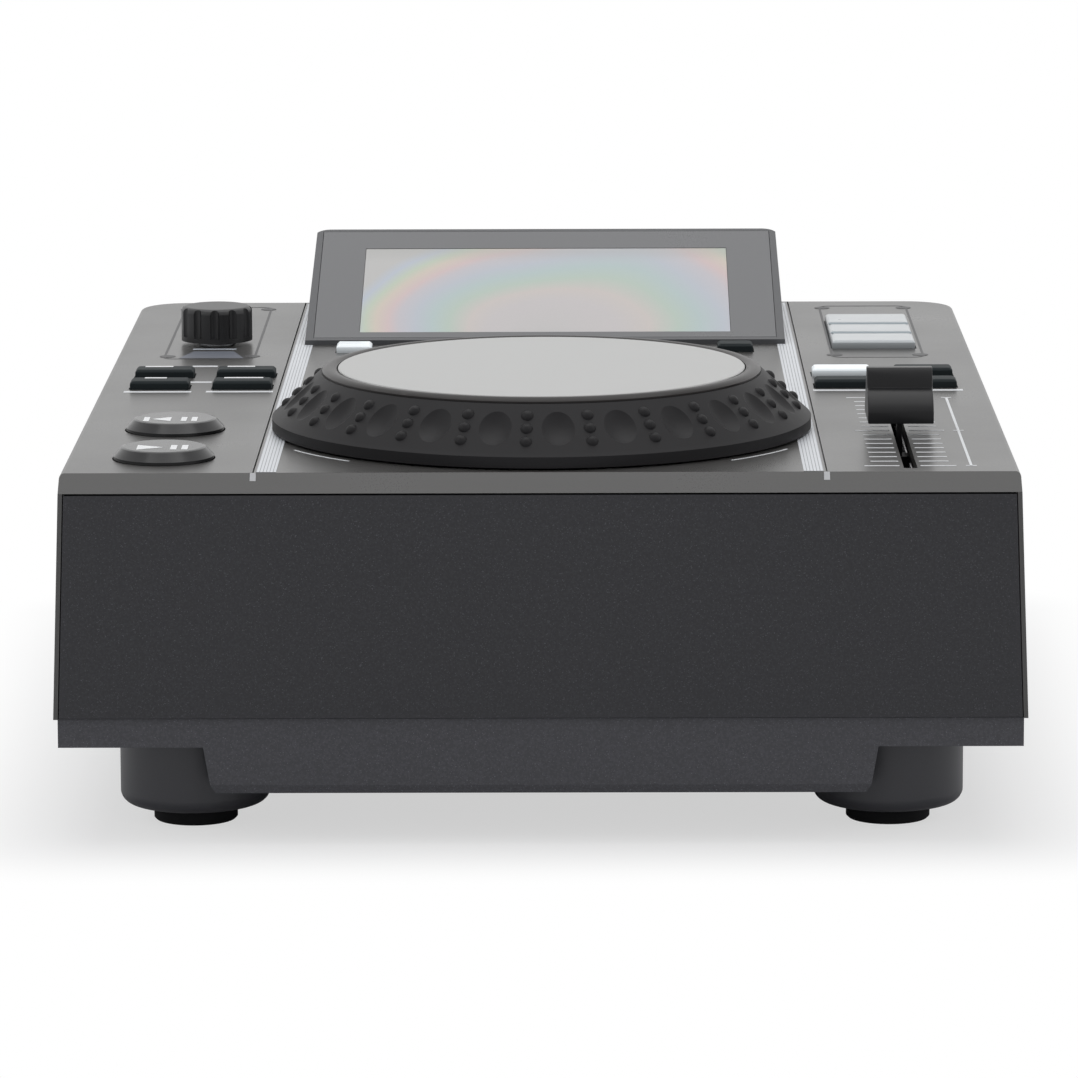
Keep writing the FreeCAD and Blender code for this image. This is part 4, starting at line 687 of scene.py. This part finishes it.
class DECK_OT_prints(bpy.types.Operator):
    """Print the fader scale, bands, lines and frames on the panel"""

    bl_idname = "deck_player.prints"
    bl_label = "Panel Prints"

    def execute(self, context):
        white = ink_paint("white_print", rgba(colours().ink))
        self.fader_scale(white)
        self.pad_lines(white)
        self.jog_arcs(white)
        self.bands()
        self.frames()
        self.groove_ends()
        return {"FINISHED"}

    def fader_scale(self, white):
        """Short lines on both sides of the fader and a long one with ticks beside it."""
        depth = sizes().scale_line
        half = sizes().line_width / 2
        slot_left, slot_right = 79.8 * MM, 84.4 * MM
        short_ends = (73.6 * MM, 91.0 * MM)
        long_ends = (72.0 * MM, 92.4 * MM)
        side, tick = 95.7 * MM, 1.2 * MM
        front, pitch, steps = 11.6, 6.225, 16
        marks = [bar(side - half, side + half, back(front), back(front + steps * pitch))]
        for index in range(steps + 1):
            y = back(front + index * pitch)
            y_low, y_high = y - depth / 2, y + depth / 2
            is_main = index in (0, steps // 2, steps)
            left, right = long_ends if is_main else short_ends
            marks.append(bar(left, slot_left, y_low, y_high))
            marks.append(bar(slot_right, right, y_low, y_high))
            if is_main:
                marks.append(bar(side - tick, side - half, y_low, y_high))
                marks.append(bar(side + half, side + tick, y_low, y_high))
        flat_marks("fader_scale", marks, white)

    def pad_lines(self, white):
        """White strips in front of the pads, and a short one behind each row of the left pads."""
        front, rear = back(121.9), back(124.3)
        short_half = 1.0
        marks = []
        for low, high in ((64.6, 80.7), (84.2, 100.4)):
            for side in (-1, 1):
                marks.append(bar(*sorted((side * low * MM, side * high * MM)), front, rear))
        for low, high, distance in ((-86.4, -80.2, 164.6), (-85.8, -80.2, 138.4)):
            marks.append(bar(low * MM, high * MM, back(distance - short_half), back(distance + short_half)))
        flat_marks("pad_strips", marks, white)

    def jog_arcs(self, white):
        """Thin arcs printed beside the front of the wheel."""
        radius, width, sweep = JOG_RADIUS + 2.4 * MM, 0.55 * MM, 18
        marks = [arc_strip(JOG_X, JOG_Y, radius, width, start, start + sweep) for start in (210.5, 311.5)]
        flat_marks("jog_arcs", marks, white)

    def bands(self):
        """Pale striped bands along both edges of the centre panel, on their grey ground."""
        pale = ink_paint("band_print", shade(226, 229, 233), roughness=0.38)
        ground = ink_paint("band_ground", shade(158, 160, 164), roughness=0.38)
        stripes, start, pitch, width = 6, 58.3 * MM, 0.74 * MM, 0.56 * MM
        front, rear = back(4.6), back(276.0)
        pod_low, pod_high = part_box("screen_pod")
        pod_front = pod_low.y - 0.5 * MM
        lift = 0.03 * MM
        marks, grounds = [], []
        for side in (-1, 1):
            for index in range(stripes):
                x = start + index * pitch
                end = rear if x > pod_high.x else pod_front
                marks.append(bar(*sorted((side * x, side * (x + width))), front, end))
            grounds.append(bar(*sorted((side * start, side * (start + stripes * pitch))), front, rear))
        flat_marks("band_grounds", grounds, ground)
        flat_marks("panel_bands", marks, pale, level=PANEL_Z + lift)

    def frames(self):
        """Thin printed frames with dark corner dots around the mode keys and the select knob."""
        dark = ink_paint("dark_print", shade(52, 52, 54))
        line, corner = sizes().line_width, 3.0 * MM
        front, rear = back(177.0), back(270.0)
        dot_radius, dot_aside, dot_front, dot_rear = 2.0 * MM, 1.0 * MM, 4.5 * MM, 4.0 * MM
        lift = 0.02 * MM
        edges, dots = [], []
        for low, high in ((71.0 * MM, 94.2 * MM), (-94.6 * MM, -71.6 * MM)):
            outer = rounded(low, high, front, rear, corner)
            inner = rounded(low + line, high - line, front + line, rear - line, corner - line)
            edges.append((outer, inner))
            for x in (low + dot_aside, high - dot_aside):
                for y in (front + dot_front, rear - dot_rear):
                    dots.append(disc(x, y, dot_radius))
        flat_marks("group_frames", [], dark, frames=edges)
        flat_marks("group_dots", dots, dark, level=PANEL_Z + lift)

    def groove_ends(self):
        """Pale inlays in the front notches where the long grooves end."""
        aside, half = 63.375 * MM, 0.66 * MM
        front, lip, rear = back(2.45), back(4.0), back(4.25)
        bottom, top = PANEL_Z - 1.58 * MM, PANEL_Z - 0.03 * MM
        profile = [(front, bottom), (rear, bottom), (rear, top), (lip, top)]
        shape = bmesh.new()
        for x in (-aside, aside):
            add_prism(shape, profile, x - half, x + half)
        for vertex in shape.verts:
            vertex.co = (vertex.co.z, vertex.co.x, vertex.co.y)
        pale = ink_paint("groove_end_print", shade(196, 197, 199))
        build("groove_ends", shape, pale, "housing", smooth=False)


class DECK_OT_fader(bpy.types.Operator):
    """Finish the pitch fader's cap"""

    bl_idname = "deck_player.fader"
    bl_label = "Pitch Fader"

    def execute(self, context):
        black = scaled(rgba(colours().satin_black), 0.7)
        dress(["fader_cap"], moulded("fader_cap_satin", black, roughness=0.30, speck=0.05, depth=0.002,
                                     specular=0.25))
        soften(["fader_cap"], sizes().edge_round, segments=3)
        return {"FINISHED"}


class DECK_OT_knob(bpy.types.Operator):
    """Finish the select knob, and lay a pale strip and a painted dark reflection of the knob on the panel
    beside it
    """

    bl_idname = "deck_player.knob"
    bl_label = "Select Knob"

    def execute(self, context):
        black = scaled(rgba(colours().satin_black), 0.8)
        dress(["select_knob"], moulded("knob_satin", black, roughness=0.36, speck=0.05, depth=0.004))
        x = middle("select_knob")[0]
        strip_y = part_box("select_knob")[0].y - 1.6 * MM
        strip = centred_bar(x, strip_y, 10.8 * MM, 1.8 * MM)
        flat_marks("knob_light_strip", [strip], ink_paint("light_strip", shade(196, 202, 210)))
        # Dark patch widening towards the front: painted reflection of the knob on the satin panel.
        front, front_half = back(178.4), 8.0 * MM
        rear, rear_half = back(190.0), 5.0 * MM
        reflection_outline = [(x - front_half, front), (x + front_half, front),
                 (x + rear_half, rear), (x - rear_half, rear)]
        flat_marks("knob_painted_reflection", [reflection_outline], ink_paint("knob_reflection_paint", shade(108, 112, 122)))
        return {"FINISHED"}


class DECK_OT_rear(bpy.types.Operator):
    """Finish the connectors on the rear"""

    bl_idname = "deck_player.rear"
    bl_label = "Rear Connectors"

    def execute(self, context):
        dress(["output_jacks", "power_inlet", "power_rocker"],
              moulded("connector_moulding", rgba(colours().satin_black), roughness=0.42))
        dress(["power_switch_body"],
              moulded("switch_gloss", rgba(colours().gloss_black), roughness=0.22, depth=0.002))
        dress(["usb_device_socket", "usb_media_socket"],
              metal("socket_shell", shade(186, 188, 190), roughness=0.3, stretch=(1.0, 6.0, 1.0)))
        self.washer("jack_washer_red", -1, shade(176, 34, 34))
        self.washer("jack_washer_white", 1, shade(222, 222, 218))
        return {"FINISHED"}

    def washer(self, name, side, colour):
        """Coloured washer round the root of the output jack on that side of the pair."""
        aside, outer_radius, inner_radius = 7.0 * MM, 5.6 * MM, 4.17 * MM
        clearance, thickness = 0.22 * MM, 0.8 * MM
        x, _, z = middle("output_jacks")
        x += side * aside
        near = REAR_PLATE_Y + clearance
        outer, inner = (disc(x, z, radius, count=40) for radius in (outer_radius, inner_radius))
        shape = bmesh.new()
        add_band(shape, outer, inner, near, near + thickness)
        for vertex in shape.verts:
            vertex.co = (vertex.co.x, vertex.co.z, vertex.co.y)
        build(name, shape, moulded(name, colour, roughness=0.4), "housing")


def lamp(name, place, width, depth, radiance):
    """Soft rectangular lamp that points at the player, whose face shines with that radiance."""
    data = bpy.data.lights.new(name, "AREA")
    data.shape = "RECTANGLE"
    data.size = width
    data.size_y = depth
    data.energy = radiance * math.pi * width * depth
    item = bpy.data.objects.new(name, data)
    item.location = place
    item.rotation_euler = (LAMP_TARGET - Vector(place)).to_track_quat("-Z", "Y").to_euler()
    bpy.context.scene.collection.objects.link(item)


class DECK_OT_stage(bpy.types.Operator):
    """Set the floor, the soft lamps and the camera"""

    bl_idname = "deck_player.stage"
    bl_label = "Stage"

    def execute(self, context):
        self.floor()
        self.world()
        lamp("top_softbox", place=(0.0, 0.25, 1.9), width=1.8, depth=1.6, radiance=1.3)
        lamp("left_softbox", place=(-1.5, -0.7, 1.1), width=0.9, depth=0.9, radiance=0.8)
        lamp("right_softbox", place=(1.5, -0.7, 1.1), width=0.9, depth=0.9, radiance=0.8)
        self.camera()
        context.scene.view_settings.view_transform = "Standard"
        return {"FINISHED"}

    def floor(self):
        """Wide plain floor that turns to clean white away from the player."""
        reach, thickness = 14.0, 0.02
        inset, fade, white_beneath = 4 * MM, 45 * MM, 0.6
        paint = Paint("floor_white")
        across, along, _ = paint.axes()
        beside = paint.larger(abs(across) - CAD_BOUNDS[1].x + inset, 0.0)
        beyond = paint.larger(abs(along) - CAD_BOUNDS[1].y + inset, 0.0)
        away = (beside * beside + beyond * beyond) ** 0.5
        plain = paint.node("ShaderNodeBsdfDiffuse", inputs={"Color": (0.90, 0.90, 0.90, 1.0)})
        bright = paint.node("ShaderNodeEmission", inputs={"Color": (1.0, 1.0, 1.0, 1.0), "Strength": 1.0})
        cover = white_beneath + paint.step(away, 0.0, fade) * (1 - white_beneath)
        share = paint.light_path("Is Camera Ray") * cover
        paint.surface(paint.node("ShaderNodeMixShader", inputs={0: share, 1: plain, 2: bright}))
        shape = bmesh.new()
        add_prism(shape, bar(-reach, reach, -reach, reach), -thickness, 0.0)
        new_object("floor", shape, paint.owner)

    def world(self):
        """Even pale surroundings, white where the camera, a reflection or glass sees them."""
        paint = Paint("studio", "worlds")
        mirrored = paint.larger(paint.light_path("Is Glossy Ray"), paint.light_path("Is Transmission Ray"))
        seen = paint.larger(paint.light_path("Is Camera Ray"), mirrored)
        dim = paint.node("ShaderNodeBackground", inputs={"Color": (0.97, 0.98, 1.0, 1.0), "Strength": 0.55})
        white = paint.node("ShaderNodeBackground", inputs={"Color": (1.0, 1.0, 1.0, 1.0), "Strength": 1.0})
        paint.surface(paint.node("ShaderNodeMixShader", inputs={0: seen, 1: dim, 2: white}))
        bpy.context.scene.world = paint.owner

    def camera(self):
        """Camera at the photograph's place and angle."""
        level = math.cos(CAMERA_PITCH)
        forward = Vector(
            (math.sin(CAMERA_YAW) * level, math.cos(CAMERA_YAW) * level, -math.sin(CAMERA_PITCH)))
        right = forward.cross(Vector((0, 0, 1))).normalized()
        up = right.cross(forward)
        cosine, sine = math.cos(CAMERA_ROLL), math.sin(CAMERA_ROLL)
        turned_right = cosine * right + sine * up
        turned_up = cosine * up - sine * right
        data = bpy.data.cameras.new("photo_camera")
        data.sensor_width = SENSOR_WIDTH
        data.lens = FOCAL_PIXELS / PHOTO_SIZE * SENSOR_WIDTH
        data.clip_start = 0.05
        data.clip_end = 60.0
        item = bpy.data.objects.new("photo_camera", data)
        turn = Matrix((turned_right, turned_up, -forward)).transposed()
        item.matrix_world = Matrix.Translation(CAMERA_PLACE) @ turn.to_4x4()
        bpy.context.scene.collection.objects.link(item)
        bpy.context.scene.camera = item


STEPS = (
    DECK_OT_stage, DECK_OT_housing, DECK_OT_inner, DECK_OT_jog, DECK_OT_pod,
    DECK_OT_buttons, DECK_OT_prints, DECK_OT_fader, DECK_OT_knob, DECK_OT_rear,
)


class DECK_PT_sidebar(bpy.types.Panel):
    """Sidebar panel with the settings and one button per step"""

    bl_idname = "DECK_PT_sidebar"
    bl_label = "Deck Player"
    bl_space_type = "VIEW_3D"
    bl_region_type = "UI"
    bl_category = "Deck Player"

    def draw(self, context):
        column = self.layout.column(align=True)
        for group in (context.scene.deck_colours, context.scene.deck_sizes):
            for name in group.__annotations__:
                column.prop(group, name)
        for step in STEPS:
            column.operator(step.bl_idname)


CLASSES = (DECK_PG_colours, DECK_PG_sizes) + STEPS + (DECK_PT_sidebar,)


def register():
    """Register the classes and the settings."""
    for item in CLASSES:
        bpy.utils.register_class(item)
    bpy.types.Scene.deck_colours = bpy.props.PointerProperty(type=DECK_PG_colours)
    bpy.types.Scene.deck_sizes = bpy.props.PointerProperty(type=DECK_PG_sizes)


def unregister():
    """Remove the settings and the classes."""
    del bpy.types.Scene.deck_sizes
    del bpy.types.Scene.deck_colours
    for item in reversed(CLASSES):
        bpy.utils.unregister_class(item)


def main():
    """Dress the player step by step."""
    register()
    for step in STEPS:
        group, name = step.bl_idname.split(".")
        getattr(getattr(bpy.ops, group), name)()


if __name__ == "__main__":
    main()
